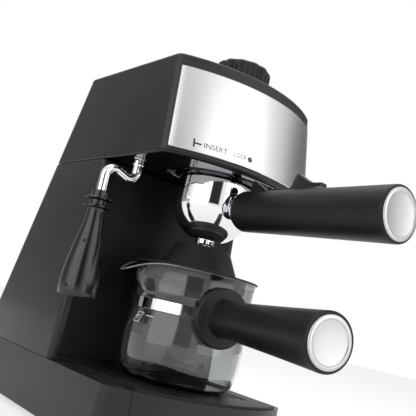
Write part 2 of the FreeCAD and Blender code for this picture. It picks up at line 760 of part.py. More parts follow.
# --------------------------------------------------- control knob, fill cap
SIDE = half_at("valve_z")
stem = piece("valve_stem", "valve_x + 8", "valve_y", "valve_z")
pad(stem, SIDE + " - valve_x - 8 + knob_gap + 10", "YZ", "0", [], [("0", "0", "stem_r")])

knob = piece("control_knob", SIDE + " + knob_gap", "valve_y", "valve_z")
pad(knob, "knob_t", "YZ", "0", [], [("0", "0", "knob_r")])
pad(knob, "knob_t + 3", "YZ", "0", [box("-4", "4", "-(knob_r - 1)", "knob_r - 1")])
pocket(knob, "10", "YZ", "0", [], [("0", "0", "stem_r")], up=True)

knob_inlay = piece("knob_pointer", SIDE + " + knob_gap + knob_t + 3", "valve_y", "valve_z")
pad(knob_inlay, "0.6", "YZ", "0", [box("-1", "1", "3", "knob_r - 2")])

cap = piece("boiler_cap")
CAP = "neck_top"
spin(cap, [("0", CAP), ("neck_r", CAP), ("neck_r + slide_gap", CAP),
           ("neck_r + slide_gap", CAP + "- 8"), ("neck_r + 4", CAP + "- 8"),
           ("cap_knob_r", CAP), ("cap_knob_r", CAP + " + cap_knob_h - 4"),
           ("cap_knob_r - 4", CAP + " + cap_knob_h"), ("0", CAP + " + cap_knob_h")])
flute = pocket(cap, "cap_knob_h * 3", "XY", CAP + "- 6", [],
               [("cap_knob_r + 2", "0", "4")], up=True)
around(cap, flute, 12)

cap_plug = piece("cap_plug", "0", "0", CAP)
spin(cap_plug, [("0", "0"), ("neck_r - neck_wall - slide_gap", "0"),
                ("neck_r - neck_wall - slide_gap", "-14"), ("8", "-18"), ("0", "-18")])

# -------------------------------------------------------------- portafilter
bowl = piece("portafilter_bowl")
FLAT = "(spout_z + spout_h)"
FLAT_R = "sqrt(bowl_r ^ 2 - (bowl_z - %s) ^ 2)" % FLAT
IN_R = "(bowl_r - bowl_wall)"
spin(bowl, [("0", FLAT), (FLAT_R, FLAT, "bowl_r", 1), ("bowl_r", "bowl_z"),
            ("bowl_r", "bowl_rim - 8"), ("rim_r", "bowl_rim - 6.4"),
            ("rim_r", "bowl_rim"), (IN_R, "bowl_rim"), (IN_R, "bowl_z"),
            ("0", "bowl_z")])
EAR_Y = "sqrt(ear_r ^ 2 - (ear_w / 2) ^ 2)"
for side in ("", "-"):
    ear_low = (side + "(rim_r - 3)", "-ear_w / 2")
    ear_points = [ear_low, (side + EAR_Y, "-ear_w / 2", "ear_r", 1 if side == "" else -1),
                  (side + EAR_Y, "ear_w / 2"), (side + "(rim_r - 3)", "ear_w / 2")]
    pad(bowl, "ear_t", "XY", "bowl_rim - ear_t", [ear_points])
pad(bowl, "boss_y - bowl_r + 6", "XZ", "bowl_r - 6", [], [("0", "handle_z", "boss_r")])
spin(bowl, [("0", "bowl_z - %s" % IN_R, IN_R, 1), (IN_R, "bowl_z"),
            (IN_R, "bowl_rim + 1"), ("0", "bowl_rim + 1")], cut=True)
pocket(bowl, "40", "XY", FLAT + "- 1", [], [("0", "0", "spout_in")], up=True)
pocket(bowl, "40", "XZ", "bowl_r - 4", [], [("0", "handle_z", "bolt_r")], up=True)

spout = piece("portafilter_spout", "0", "0", "spout_z")
spin(spout, [("spout_in - 1.6", "0"), ("spout_r - 0.6", "0"), ("spout_r", "0.6"),
             ("spout_r", "spout_h"), ("spout_in", "spout_h"),
             ("spout_in", "spout_h + 3"), ("spout_in - 1.6", "spout_h + 3")])
pocket(spout, "spout_h - 1.2", "XY", "0",
       [box("-spout_r - 1", "spout_r + 1", "-spout_slot / 2", "spout_slot / 2")], up=True)

ferrule = piece("handle_ferrule", "0", "0", "handle_z")
spin(ferrule, [("bolt_r", "-handle_y"), ("ferrule_r", "-handle_y"),
               ("ferrule_r", "-boss_y"), ("bolt_r", "-boss_y")], plane="XY")

grip = piece("portafilter_handle", "0", "0", "handle_z")
spin(grip, [("bolt_r", "-handle_y"), ("bolt_r", "-(handle_y + 36)"),
            ("0", "-(handle_y + 36)"), ("0", "-(handle_end - cap_t)"),
            ("cap_r", "-(handle_end - cap_t)"), ("cap_r", "-handle_end"),
            ("handle_r2 - 0.5", "-handle_end"), ("handle_r2", "-(handle_end - 1)"),
            ("handle_r2", "-(handle_end - 4)"),
            ("handle_r1", "-(handle_y + handle_edge)", "handle_edge", 1),
            ("handle_r1 - handle_edge", "-handle_y")], plane="XY")
SEAT = "(guard_z - handle_z)"
pad(grip, "guard_w / 3", "YZ", "-guard_w / 6",
    [box("-(guard_y + 2.8)", "-(guard_y - 2.8)", "handle_r1 - 3", SEAT + " + 2.4")])
pocket(grip, "guard_w", "YZ", "-guard_w / 2", [], [("-guard_y", SEAT, "guard_pin_r")],
       up=True)

end_cap = piece("handle_end_cap", "0", "0", "handle_z")
spin(end_cap, [("0", "-(handle_end - cap_t)"), ("0", "-(handle_end + 0.2)"),
               ("cap_r - 3.4", "-(handle_end + 0.2)"), ("cap_r - 3", "-(handle_end + 0.8)"),
               ("cap_r - 1", "-(handle_end + 0.8)"), ("cap_r - 0.1", "-handle_end"),
               ("cap_r - 0.1", "-(handle_end - cap_t)")], plane="XY")

bolt = piece("handle_bolt", "0", "0", "handle_z")
spin(bolt, [("0", "-(bowl_r - 3.6)"), ("bolt_r - 0.05", "-(bowl_r - 3.6)"),
            ("bolt_r - 0.05", "-(handle_y + 34)"), ("0", "-(handle_y + 34)")], plane="XY")

basket = piece("filter_basket", "0", "0", "bowl_rim")
BR = "(basket_r - basket_wall)"
spin(basket, [("0", "-basket_depth"), ("basket_r - 3", "-basket_depth"),
              ("basket_r", "-(basket_depth - 4)"), ("basket_r", "0"),
              ("rim_r - 0.6", "0"), ("rim_r - 0.6", "basket_flange"),
              (BR, "basket_flange"), (BR, "-(basket_depth - 4)"),
              ("basket_r - 3.4", "-(basket_depth - basket_wall)"),
              ("0", "-(basket_depth - basket_wall)")])
for ring_n, holes in ((5, 8), (11, 16), (17, 24)):
    hole = pocket(basket, "8", "XY", "-(basket_depth + 2)", [],
                  [(str(ring_n), "0", "0.6")], up=True)
    around(basket, hole, holes)

guard = piece("thumb_guard", "0", "-guard_y", "guard_z")
HALF = "guard_w / 2"
pad(guard, "guard_w", "YZ", "-" + HALF,
    [[("8", "0.6"), ("8", "3.6"), ("-1", "3.6"), ("-12", "-0.4"), ("-34.4", "-0.5"),
      ("-36.2", "6"), ("-38", "9.4"), ("-44.4", "6.5"), ("-49.1", "3.6"),
      ("-55.7", "2.1"), ("-61", "2.3"), ("-61", "-0.5"), ("-34", "-1.5"),
      ("-8", "-1.9"), ("-3", "-2.4"), ("3", "-2.4")]])
pocket(guard, "guard_w / 3 + 0.6", "YZ", "-(guard_w / 6 + 0.3)",
       [box("-4", "6", "-6", "3.8")], up=True)
pocket(guard, "guard_w * 2", "YZ", "-guard_w", [], [("0", "0", "guard_pin_r + 0.1")],
       up=True)

pin = piece("guard_pin", "0", "-guard_y", "guard_z")
pad(pin, "guard_w - 1", "YZ", "-(guard_w - 1) / 2", [], [("0", "0", "guard_pin_r")])

# -------------------------------------------------------------- the carafe
T = "carafe_turn"
glass = piece("carafe_glass", turn=T)
GRID = "(base_top + grid_t + rest_gap)"
LOW = "(band_z - 3)"
HIGH = "(band_z + band_h + 2)"
spin(glass, [("0", GRID + " + 1.2"), ("carafe_foot_r - 6", GRID + " + 1.2"),
             ("carafe_foot_r - 5", GRID), ("carafe_foot_r", GRID),
             ("carafe_r - 1", GRID + " + 12"), ("carafe_r", GRID + " + 22"),
             ("carafe_r", LOW + " - 12"), ("band_r", LOW), ("band_r", HIGH),
             ("throat_r", HIGH + " + 2"), ("throat_r", "rim_z - 3"),
             ("lip_r", "rim_z - 1"), ("lip_r", "rim_z"), ("0", "rim_z")])
loft(glass, [("-(throat_r - 10)", "-9"), ("-(throat_r - 10)", "9"), ("-(band_r - 1)", "7"),
             ("-(band_r - 1)", "-7")], HIGH,
     [("-(throat_r - 10)", "-15"), ("-(throat_r - 10)", "15"), ("-spout_reach", "3"),
      ("-spout_reach", "-3")], "rim_z - spout_dip")
loft(glass, [("-(throat_r - 12)", "-7.4"), ("-(throat_r - 12)", "7.4"),
             ("-(band_r - glass_t - 2)", "5.4"), ("-(band_r - glass_t - 2)", "-5.4")], HIGH,
     [("-(throat_r - 12)", "-13"), ("-(throat_r - 12)", "13"),
      ("-(spout_reach - glass_t)", "1.6"), ("-(spout_reach - glass_t)", "-1.6")],
     "rim_z - spout_dip + 0.1", cut=True)
spin(glass, [("0", GRID + " + 3.4"), ("carafe_foot_r - 2", GRID + " + 2.6"),
             ("carafe_r - glass_t - 1", GRID + " + 12"),
             ("carafe_r - glass_t", GRID + " + 22"),
             ("carafe_r - glass_t", LOW + " - 12"), ("band_r - glass_t", LOW),
             ("band_r - glass_t", HIGH), ("throat_r - glass_t", HIGH + " + 2"),
             ("throat_r - glass_t", "rim_z + 1"), ("0", "rim_z + 1")], cut=True)

band = piece("carafe_band", turn=T)
spin(band, [("band_r", "band_z"), ("band_r + band_t", "band_z"),
            ("band_r + band_t", "band_z + band_h"), ("band_r", "band_z + band_h")])
pad(band, "band_lug_y - band_r + 1.4", "XZ", "band_r - 1.4",
    [box("-band_lug_w / 2", "band_lug_w / 2", "band_z", "band_z + band_h")])
pocket(band, "band_h * 2", "XY", "band_z - 1", [], [("0", "0", "band_r")], up=True)

jug_grip = piece("carafe_handle", z="jug_z", turn=T)
G0 = "band_lug_y"
G1 = "(band_lug_y + flange_t)"
spin(jug_grip, [("jug_bolt_r", "-" + G0), ("jug_bolt_r", "-(band_lug_y + 32)"),
                ("0", "-(band_lug_y + 32)"), ("0", "-(grip_end - cap_t)"),
                ("grip_cap_r", "-(grip_end - cap_t)"), ("grip_cap_r", "-grip_end"),
                ("grip_r2 - 0.6", "-grip_end"), ("grip_r2", "-(grip_end - 1.2)"),
                ("grip_r2", "-(grip_end - 4)"), ("grip_r1", "-(%s + 1.5)" % G1),
                ("grip_r1 + 1", "-" + G1), ("flange_r - 1.6", "-" + G1),
                ("flange_r", "-(%s - 1.6)" % G1), ("flange_r", "-" + G0)], plane="XY")

jug_cap = piece("carafe_handle_cap", z="jug_z", turn=T)
spin(jug_cap, [("0", "-(grip_end - cap_t)"), ("0", "-(grip_end + 0.2)"),
               ("grip_cap_r - 3.4", "-(grip_end + 0.2)"),
               ("grip_cap_r - 3", "-(grip_end + 0.8)"),
               ("grip_cap_r - 1", "-(grip_end + 0.8)"),
               ("grip_cap_r - 0.1", "-grip_end"),
               ("grip_cap_r - 0.1", "-(grip_end - cap_t)")], plane="XY")

jug_bolt = piece("carafe_handle_bolt", z="jug_z", turn=T)
spin(jug_bolt, [("0", "-" + G0), ("jug_bolt_r - 0.05", "-" + G0),
                ("jug_bolt_r - 0.05", "-(band_lug_y + 30)"), ("0", "-(band_lug_y + 30)")],
     plane="XY")

lid = piece("carafe_lid", turn=T)
spin(lid, [("lid_hole_r", "lid_top"), ("lid_top_r", "lid_top"),
           ("lid_base_r", "lid_flange_z + lid_step"), ("lid_flange_r", "lid_flange_z + 1.2"),
           ("lid_flange_r", "rim_z + 0.1"), ("lid_skirt_r", "rim_z + 0.1"),
           ("lid_skirt_r", "rim_z - lid_skirt_h"),
           ("lid_skirt_r - lid_wall", "rim_z - lid_skirt_h"),
           ("lid_skirt_r - lid_wall", "lid_flange_z - 0.8"),
           ("lid_base_r - lid_wall - 1", "lid_flange_z - 0.8"),
           ("lid_top_r - lid_wall", "lid_top - lid_wall"),
           ("lid_hole_r", "lid_top - lid_wall")])

# ------------------------------------------------------------ check, export
doc.recompute()
os.makedirs("parts", exist_ok=True)
bodies = [o for o in doc.Objects if o.TypeId == "PartDesign::Body"]
faults = []
for obj in doc.Objects:
    if "Invalid" in obj.State or "Error" in obj.State:
        faults.append("%s (%s) %s" % (obj.Label, obj.Name, obj.State))
for body in bodies:
    if body.Shape.isNull() or not body.Shape.isValid():
        faults.append("%s has no sound shape" % body.Label)
if faults:
    raise RuntimeError("; ".join(faults))
for body in bodies:
    body.Shape.exportStep(os.path.join("parts", body.Label + ".step"))
    print("%-22s %10.1f mm3, %d solids" % (body.Label, body.Shape.Volume,
                                           len(body.Shape.Solids)))
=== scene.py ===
# %% Load the measured model
import bpy, bmesh, math
from mathutils import Matrix, Vector


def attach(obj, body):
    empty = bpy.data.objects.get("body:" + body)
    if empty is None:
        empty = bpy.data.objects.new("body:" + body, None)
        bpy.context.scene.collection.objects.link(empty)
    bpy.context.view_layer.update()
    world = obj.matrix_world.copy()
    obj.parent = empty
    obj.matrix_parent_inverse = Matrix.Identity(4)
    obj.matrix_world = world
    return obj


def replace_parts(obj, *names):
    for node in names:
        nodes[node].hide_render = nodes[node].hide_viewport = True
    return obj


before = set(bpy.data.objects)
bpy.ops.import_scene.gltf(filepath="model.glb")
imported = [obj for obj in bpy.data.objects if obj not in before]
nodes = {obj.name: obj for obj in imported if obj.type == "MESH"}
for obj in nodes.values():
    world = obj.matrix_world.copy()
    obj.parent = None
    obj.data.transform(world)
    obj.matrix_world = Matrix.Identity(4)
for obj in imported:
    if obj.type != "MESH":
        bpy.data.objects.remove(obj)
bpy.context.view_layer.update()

# %% [markdown]
# The camera.
# The machine is seen from its front left corner, from just above counter height, and the camera
# is rolled by 13 degrees. A rolled camera is easiest to build from its three axes: where it
# looks, what is to its right and what is above it. Those axes become the columns of the
# camera's matrix, which is clearer than three chained rotations.

# %% Camera
yaw, pitch, roll = 0.64178, 0.18208, 0.22575
look = Vector((math.sin(yaw) * math.cos(pitch), math.cos(yaw) * math.cos(pitch), math.sin(pitch)))
level = Vector((math.cos(yaw), -math.sin(yaw), 0.0))
upward = level.cross(look)
side = level * math.cos(roll) + upward * math.sin(roll)
top = upward * math.cos(roll) - level * math.sin(roll)
camera = bpy.data.objects.new("camera", bpy.data.cameras.new("camera"))
bpy.context.scene.collection.objects.link(camera)
axes = Matrix((side, top, -look)).transposed().to_4x4()
camera.matrix_world = Matrix.Translation((-0.3054, -0.4005, 0.0993)) @ axes
camera.data.sensor_width = 36
camera.data.lens = 55.4
camera.data.shift_x = -0.0012
camera.data.shift_y = -0.0252
camera.data.clip_start = 0.01
bpy.context.scene.camera = camera
print("lens", camera.data.lens, "mm")

# %% [markdown]
# The studio.
# A black and chrome appliance is shown best inside a bright tent. Three large soft panels light
# it, from the left, from the front and from overhead. The backdrop is white to the viewer,
# through glass and in mirrors; what dull surfaces receive from it stays grey. Light Path tells
# these rays apart. A mirror also shows the darker stretches that any real room has: a narrow one
# at the front left, one on the right and one behind. They draw the dark upright lines in polished
# metal. They are a list of tones by bearing, which a colour ramp blends into one another.

# %% Helpers for node trees
def add_node(tree, kind, values=None, mode=None):
    """New node of a kind, with its operation and the values of its sockets."""
    made = tree.nodes.new("ShaderNode" + kind)
    if mode:
        made.operation = mode
    for socket, value in (values or {}).items():
        made.inputs[socket].default_value = value
    return made


def wire(tree, *pairs):
    """Join sockets, given as pairs of an output and an input."""
    for source, target in pairs:
        tree.links.new(source, target)


print("node helpers ready")

# %% The room that mirrors show
WHITE = (1, 1, 1, 1)
ROOM_TONES = [(-144, 1.0), (-140, 0.03), (-114, 0.03), (-110, 0.97), (-34, 0.97), (-8, 0.14),
              (26, 0.14), (34, 1.0), (84, 1.0), (92, 0.34), (144, 0.3), (156, 1.0)]
scene = bpy.context.scene
scene.view_settings.view_transform = "Standard"
world = bpy.data.worlds.new("studio")
scene.world = world
world.use_nodes = True
tree = world.node_tree
mirrored = add_node(tree, "Background", {"Strength": 1.0})
direction = add_node(tree, "TexCoord")
parts = add_node(tree, "SeparateXYZ")
bearing = add_node(tree, "Math", mode="ARCTAN2")
turn = add_node(tree, "MapRange", {"From Min": -math.pi, "From Max": math.pi})
room = add_node(tree, "ValToRGB")
bands = room.color_ramp.elements
bands[0].position, bands[1].position = 0.0, 1.0
for degrees, tone in ROOM_TONES:
    band = bands.new((degrees + 180) / 360)
    band.color = (tone, tone, tone, 1)
bands[0].color = bands[len(bands) - 1].color = WHITE
height = add_node(tree, "MapRange", {"From Min": 0.42, "From Max": 0.62})
ceiling = add_node(tree, "Mix")
ceiling.data_type = "RGBA"
ceiling.inputs["B"].default_value = (0.9, 0.9, 0.9, 1)
wire(tree, (direction.outputs["Generated"], parts.inputs[0]),
     (parts.outputs["Y"], bearing.inputs[0]), (parts.outputs["X"], bearing.inputs[1]),
     (bearing.outputs[0], turn.inputs["Value"]), (turn.outputs[0], room.inputs[0]),
     (parts.outputs["Z"], height.inputs["Value"]), (height.outputs[0], ceiling.inputs["Factor"]),
     (room.outputs[0], ceiling.inputs["A"]),
     (ceiling.outputs["Result"], mirrored.inputs["Color"]))
print("room drawn in", len(bands), "tones")

# %% Which ray sees which room
around = tree.nodes["Background"]
around.inputs["Color"].default_value = WHITE
around.inputs["Strength"].default_value = 0.34
seen = add_node(tree, "Background", {"Color": WHITE, "Strength": 1.0})
path = add_node(tree, "LightPath")
asks = add_node(tree, "Math", mode="MAXIMUM")
in_mirrors = add_node(tree, "MixShader")
mix = add_node(tree, "MixShader")
wire(tree, (path.outputs["Is Camera Ray"], asks.inputs[0]),
     (path.outputs["Is Transmission Ray"], asks.inputs[1]),
     (path.outputs["Is Glossy Ray"], in_mirrors.inputs[0]),
     (around.outputs[0], in_mirrors.inputs[1]), (mirrored.outputs[0], in_mirrors.inputs[2]),
     (asks.outputs[0], mix.inputs[0]), (in_mirrors.outputs[0], mix.inputs[1]),
     (seen.outputs[0], mix.inputs[2]),
     (mix.outputs[0], tree.nodes["World Output"].inputs["Surface"]))
print("dull surfaces receive", around.inputs["Strength"].default_value, "of the white room")


# %% Soft panels
def softbox(name, where, towards, wide, power):
    """Large square lamp at a place, turned towards a point."""
    lamp = bpy.data.lights.new(name, "AREA")
    lamp.size, lamp.energy = wide, power
    holder = bpy.data.objects.new(name, lamp)
    holder.location = where
    aim = Vector(towards) - Vector(where)
    holder.rotation_euler = aim.to_track_quat("-Z", "Y").to_euler()
    scene.collection.objects.link(holder)


for name, where, power in (("left_panel", (-1.45, -0.30, 0.62), 8.0),
                           ("front_panel", (0.42, -1.45, 0.62), 7.0),
                           ("overhead_panel", (0.1, 0.1, 1.6), 6.0)):
    softbox(name, where, (0, 0, 0.17), 1.5, power)
print("three soft panels hung")

# %% [markdown]
# The counter.
# One large pale sheet carries the machine. It takes the soft shadow, which is what seats an
# object. Part of its whiteness is a glow that only the viewer, mirrors and glass see: the sheet
# melts into the backdrop without a brighter lamp, and the shadow stays.

# %% Counter
bpy.ops.mesh.primitive_plane_add(size=8, location=(0, 0, -0.0004))
counter = bpy.context.object
counter.name = "counter"
sheet = bpy.data.materials.new("pale_counter")
sheet.use_nodes = True
tree = sheet.node_tree
surface = tree.nodes["Principled BSDF"]
surface.inputs["Base Color"].default_value = (0.55, 0.55, 0.55, 1)
surface.inputs["Roughness"].default_value = 0.8
surface.inputs["Specular IOR Level"].default_value = 0.2
grain = add_node(tree, "TexNoise", {"Scale": 300})
relief = add_node(tree, "Bump", {"Distance": 0.0001})
glow = add_node(tree, "Emission")
path = add_node(tree, "LightPath")
either = add_node(tree, "Math", mode="MAXIMUM")
any_of = add_node(tree, "Math", mode="MAXIMUM")
share = add_node(tree, "Math", {1: 0.66}, "MULTIPLY")
both = add_node(tree, "AddShader")
wire(tree, (grain.outputs["Fac"], relief.inputs["Height"]),
     (relief.outputs[0], surface.inputs["Normal"]),
     (path.outputs["Is Camera Ray"], either.inputs[0]),
     (path.outputs["Is Glossy Ray"], either.inputs[1]), (either.outputs[0], any_of.inputs[0]),
     (path.outputs["Is Transmission Ray"], any_of.inputs[1]),
     (any_of.outputs[0], share.inputs[0]), (share.outputs[0], glow.inputs["Strength"]),
     (surface.outputs[0], both.inputs[0]), (glow.outputs[0], both.inputs[1]),
     (both.outputs[0], tree.nodes["Material Output"].inputs["Surface"]))
counter.data.materials.append(sheet)
print("counter laid")

# %% [markdown]
# Plastics.
# Most of the machine is moulded black plastic. Moulds are etched, so the surface has a fine
# pebble, and it is never one flat grey: handling polishes some places and leaves others dull.
# One recipe makes all the plastics: a very fine noise drives the bump, and a broad noise
# shifts the colour and the roughness a little. Only the numbers differ from piece to piece.

# %% Helpers for finishes
def nodes_of(name):
    """A new finish and its tree and shader."""
    finish = bpy.data.materials.new(name)
    finish.use_nodes = True
    return finish, finish.node_tree, finish.node_tree.nodes["Principled BSDF"]


def noise(tree, scale, stretch=(1, 1, 1), detail=3.0):
    """Noise in the object's own metres; scale counts features per metre."""
    where = add_node(tree, "TexCoord")
    fit = add_node(tree, "Mapping", {"Scale": stretch})
    grain = add_node(tree, "TexNoise", {"Scale": scale, "Detail": detail})
    wire(tree, (where.outputs["Object"], fit.inputs["Vector"]),
         (fit.outputs[0], grain.inputs["Vector"]))
    return grain.outputs["Fac"]


def ramp(tree, fac, low, high):
    """Turn a 0..1 value into a run between two colours."""
    run = add_node(tree, "ValToRGB")
    for end, place, colour in zip(run.color_ramp.elements, (0.3, 0.7), (low, high)):
        end.position = place
        end.color = (*colour, 1)
    tree.links.new(fac, run.inputs[0])
    return run.outputs[0]


def spread(tree, fac, low, high):
    """Turn a 0..1 value into a number between two limits."""
    run = add_node(tree, "MapRange", {"From Min": 0.3, "From Max": 0.7, "To Min": low,
                                      "To Max": high})
    tree.links.new(fac, run.inputs["Value"])
    return run.outputs[0]


def press(tree, shader, fac, depth):
    """Raise the surface by a value, depth in metres."""
    bump = add_node(tree, "Bump", {"Distance": depth, "Strength": 1.0})
    wire(tree, (fac, bump.inputs["Height"]), (bump.outputs[0], shader.inputs["Normal"]))


print("finish helpers ready")


# %% Moulded plastic
def plastic(name, grey, rough, pebble, depth, gloss=0.5):
    """Moulded plastic; pebble counts its grains per metre."""
    finish, tree, shader = nodes_of(name)
    broad = noise(tree, 22, detail=4)
    low = tuple(c * 0.86 for c in grey)
    high = tuple(c * 1.16 for c in grey)
    tree.links.new(ramp(tree, broad, low, high), shader.inputs["Base Color"])
    tree.links.new(spread(tree, broad, rough * 0.92, rough * 1.08), shader.inputs["Roughness"])
    shader.inputs["Specular IOR Level"].default_value = gloss
    press(tree, shader, noise(tree, pebble), depth)
    return finish


housing_plastic = plastic("satin_housing_plastic", (0.027, 0.0272, 0.028), 0.36, 2600, 0.00003,
                          0.32)
# dark plastic for the base plate and grid, and painted shade in the sleeve's air holes
dark_plastic_and_hole_shade = plastic("dark_plastic_and_painted_hole_shade", (0.008, 0.008, 0.009), 0.5, 1800, 0.00004, 0.3)
grip_plastic = plastic("soft_grip_plastic", (0.011, 0.011, 0.0115), 0.42, 3200, 0.00003, 0.28)
gloss_plastic = plastic("gloss_black_plastic", (0.010, 0.010, 0.011), 0.24, 1200, 0.00001, 0.35)
mirror_black = plastic("polished_black_plastic", (0.006, 0.006, 0.0065), 0.09, 90, 0.000001, 0.5)
sleeve_plastic = plastic("gloss_sleeve_plastic", (0.010, 0.010, 0.011), 0.2, 500, 0.000006, 0.6)
lid_plastic = plastic("matt_lid_plastic", (0.012, 0.012, 0.012), 0.55, 2400, 0.00005, 0.35)
rubber = plastic("foot_rubber", (0.02, 0.02, 0.02), 0.75, 1500, 0.00008, 0.3)
seal_rubber = plastic("red_seal_rubber", (0.24, 0.05, 0.035), 0.6, 1500, 0.00005, 0.4)
white_ceramic = plastic("white_terminal_plastic", (0.62, 0.61, 0.57), 0.4, 1500, 0.00003)
cable_sheath = plastic("grey_cable_sheath", (0.20, 0.19, 0.18), 0.55, 1200, 0.00005)
lamp_red = plastic("red_lamp_lens", (0.45, 0.03, 0.02), 0.12, 800, 0.00001)
# near black: painted shade for the head's shadow over the cup bay
bay_painted_shade_plastic = plastic("bay_plastic_painted_shade", (0.0055, 0.0055, 0.006), 0.5, 1800, 0.00004, 0.22)
ink = plastic("dark_printing_ink", (0.018, 0.018, 0.02), 0.5, 3000, 0.00001, 0.3)
grey_ink = plastic("grey_printing_ink", (0.11, 0.11, 0.115), 0.5, 3000, 0.00001, 0.3)
pale_ink = plastic("white_printing_ink", (0.75, 0.75, 0.74), 0.5, 3000, 0.00001, 0.3)
print("plastics made")

# %% [markdown]
# Metals.
# Three metals show. Chrome plating mirrors everything and only carries faint wipe marks. The
# front is sheet steel brushed along its width: noise stretched a few hundred times along one
# axis gives the fine lines. Turned or cast parts are duller, and a turned face has rings, which
# come from noise that only reads the distance from the turning axis.

# %% Metals
def metal(name, tone, rough_low, rough_high, grain, depth, stretch=(1, 1, 1), detail=3.0):
    """Bare or plated metal with faint marks, drawn out by stretch."""
    finish, tree, shader = nodes_of(name)
    shader.inputs["Metallic"].default_value = 1.0
    lines = noise(tree, grain, stretch, detail)
    low = tuple(c * 0.95 for c in tone)
    tree.links.new(ramp(tree, lines, low, tone), shader.inputs["Base Color"])
    tree.links.new(spread(tree, lines, rough_low, rough_high), shader.inputs["Roughness"])
    press(tree, shader, lines, depth)
    return finish


chrome = metal("polished_chrome", (0.86, 0.86, 0.88), 0.035, 0.075, 60, 0.000002)
front_steel = metal("brushed_front_steel", (0.75, 0.75, 0.755), 0.27, 0.34, 18, 0.0000035,
                    (1, 1, 220), 5)
sheet_steel = metal("plain_sheet_steel", (0.56, 0.56, 0.57), 0.22, 0.34, 120, 0.00001)
# near black: painted shade and painted dark reflection, used on the bowl's rim ring, its ears and the
# collar ramps
painted_shade_metal = metal("metal_painted_with_shade_and_reflection", (0.035, 0.037, 0.046), 0.14, 0.2, 90, 0.000001)
cast_metal = metal("cast_collar_metal", (0.55, 0.56, 0.58), 0.18, 0.34, 340, 0.00003)
zinc = metal("zinc_screw_steel", (0.52, 0.52, 0.50), 0.3, 0.45, 500, 0.00002)
brass = metal("valve_brass", (0.70, 0.52, 0.24), 0.25, 0.38, 300, 0.00002)


def turned_face(name, tone, centre, axis_of_turning):
    """Metal with fine rings about an axis through a point."""
    finish, tree, shader = nodes_of(name)
    shader.inputs["Metallic"].default_value = 1.0
    where = add_node(tree, "TexCoord")
    off = add_node(tree, "VectorMath", {1: centre}, "SUBTRACT")
    flat = add_node(tree, "VectorMath",
                    {1: tuple(0.0 if a else 1.0 for a in axis_of_turning)}, "MULTIPLY")
    reach = add_node(tree, "VectorMath", mode="LENGTH")
    rings = add_node(tree, "TexNoise")
    rings.noise_dimensions = "1D"
    rings.inputs["Scale"].default_value = 2600
    rings.inputs["Detail"].default_value = 2
    wire(tree, (where.outputs["Object"], off.inputs[0]), (off.outputs[0], flat.inputs[0]),
         (flat.outputs[0], reach.inputs[0]), (reach.outputs["Value"], rings.inputs["W"]))
    low = tuple(c * 0.88 for c in tone)
    tree.links.new(ramp(tree, rings.outputs["Fac"], low, tone), shader.inputs["Base Color"])
    tree.links.new(spread(tree, rings.outputs["Fac"], 0.3, 0.42), shader.inputs["Roughness"])
    press(tree, shader, rings.outputs["Fac"], 0.00001)
    return finish


GRIP_Z = 181.7
grip_cap_metal = turned_face("turned_grip_cap", (0.62, 0.62, 0.63), (0, 0, GRIP_Z / 1000),
                             (0, 1, 0))
jug_cap_metal = turned_face("turned_jug_cap", (0.62, 0.62, 0.63), (-0.0261, -0.165, 0.102),
                            (0, 0, 0))
print("metals made")

# %% [markdown]
# Glass.
# The jug is blown glass, about two millimetres thick, clear with a faint grey-green body. A
# principled shader with full transmission bends the light, and a coat on top adds the clean
# mirror of freshly washed glass. A very shallow, broad bump gives the slow waves that moulded
# glass always has. The wall has both its skins. The rim has a part milky grey glass of its own:
# the grey is a painted highlight, the light line along the mouth.

# %% Glass
def glass(name, clear, bend, rough, coat_bend):
    """Glass by how clear it is and by the IOR of its body and its coat."""
    finish, tree, shader = nodes_of(name)
    shader.inputs["Transmission Weight"].default_value = clear
    shader.inputs["IOR"].default_value = bend
    shader.inputs["Roughness"].default_value = rough
    shader.inputs["Coat Weight"].default_value = 1.0
    shader.inputs["Coat IOR"].default_value = coat_bend
    return finish, tree, shader


jug_glass, tree, shader = glass("clear_jug_glass", 1.0, 1.36, 0.01, 1.4)
shader.inputs["Base Color"].default_value = (0.56, 0.58, 0.575, 1)
shader.inputs["Coat Roughness"].default_value = 0.02
press(tree, shader, noise(tree, 45, detail=1), 0.00002)
# part milky grey rim glass: painted highlight for the light line along the mouth
rim_glass_painted_highlight, tree, shader = glass("rim_glass_with_painted_highlight", 0.55, 1.5, 0.12, 1.7)
tree.links.new(ramp(tree, noise(tree, 60), (0.42, 0.42, 0.41), (0.6, 0.6, 0.59)),
               shader.inputs["Base Color"])
press(tree, shader, noise(tree, 80), 0.00002)
print("glass made")

# %% [markdown]
# Finishes for the measured pieces.
# Every piece of the CAD model gets one of the finishes above. Pieces that are rebuilt later in
# finer mesh are hidden by their stand-ins, so this table mostly serves the inner pieces and
# those whose measured shape is already right.

# %% Dress the measured pieces
DRESS = [
    (housing_plastic, "base_shell drip_tray column_shell head_housing top_cover"),
    (dark_plastic_and_hole_shade, "base_plate drip_grid head_underside"),
    (rubber, "rubber_feet"),
    (zinc, "base_screws housing_screws thermostat screen_screw handle_bolt guard_pin "
           "carafe_handle_bolt"),
    (grip_plastic, "cord_gland control_knob boiler_cap portafilter_handle carafe_handle"),
    (white_ceramic, "terminal_block thermal_fuse"),
    (cable_sheath, "wiring_loom"),
    (front_steel, "front_panel"),
    (lamp_red, "indicator_lamp"),
    (cast_metal, "brew_head boiler cap_plug"),
    (sheet_steel, "heating_element shower_screen steam_pipe valve_inlet_pipe knob_pointer "
                  "filter_basket"),
    (seal_rubber, "group_gasket"),
    (brass, "steam_valve valve_stem"),
    (chrome, "wand_nut steam_wand portafilter_bowl portafilter_spout handle_ferrule carafe_band"),
    (sleeve_plastic, "frothing_sleeve"),
    (grip_cap_metal, "handle_end_cap"),
    (gloss_plastic, "thumb_guard"),
    (jug_glass, "carafe_glass"),
    (jug_cap_metal, "carafe_handle_cap"),
    (lid_plastic, "carafe_lid"),
]
for finish, names in DRESS:
    for name in names.split():
        nodes[name].data.materials.clear()
        nodes[name].data.materials.append(finish)
        nodes[name].data.set_sharp_from_angle(angle=math.radians(30))
print(len(nodes), "measured pieces dressed")

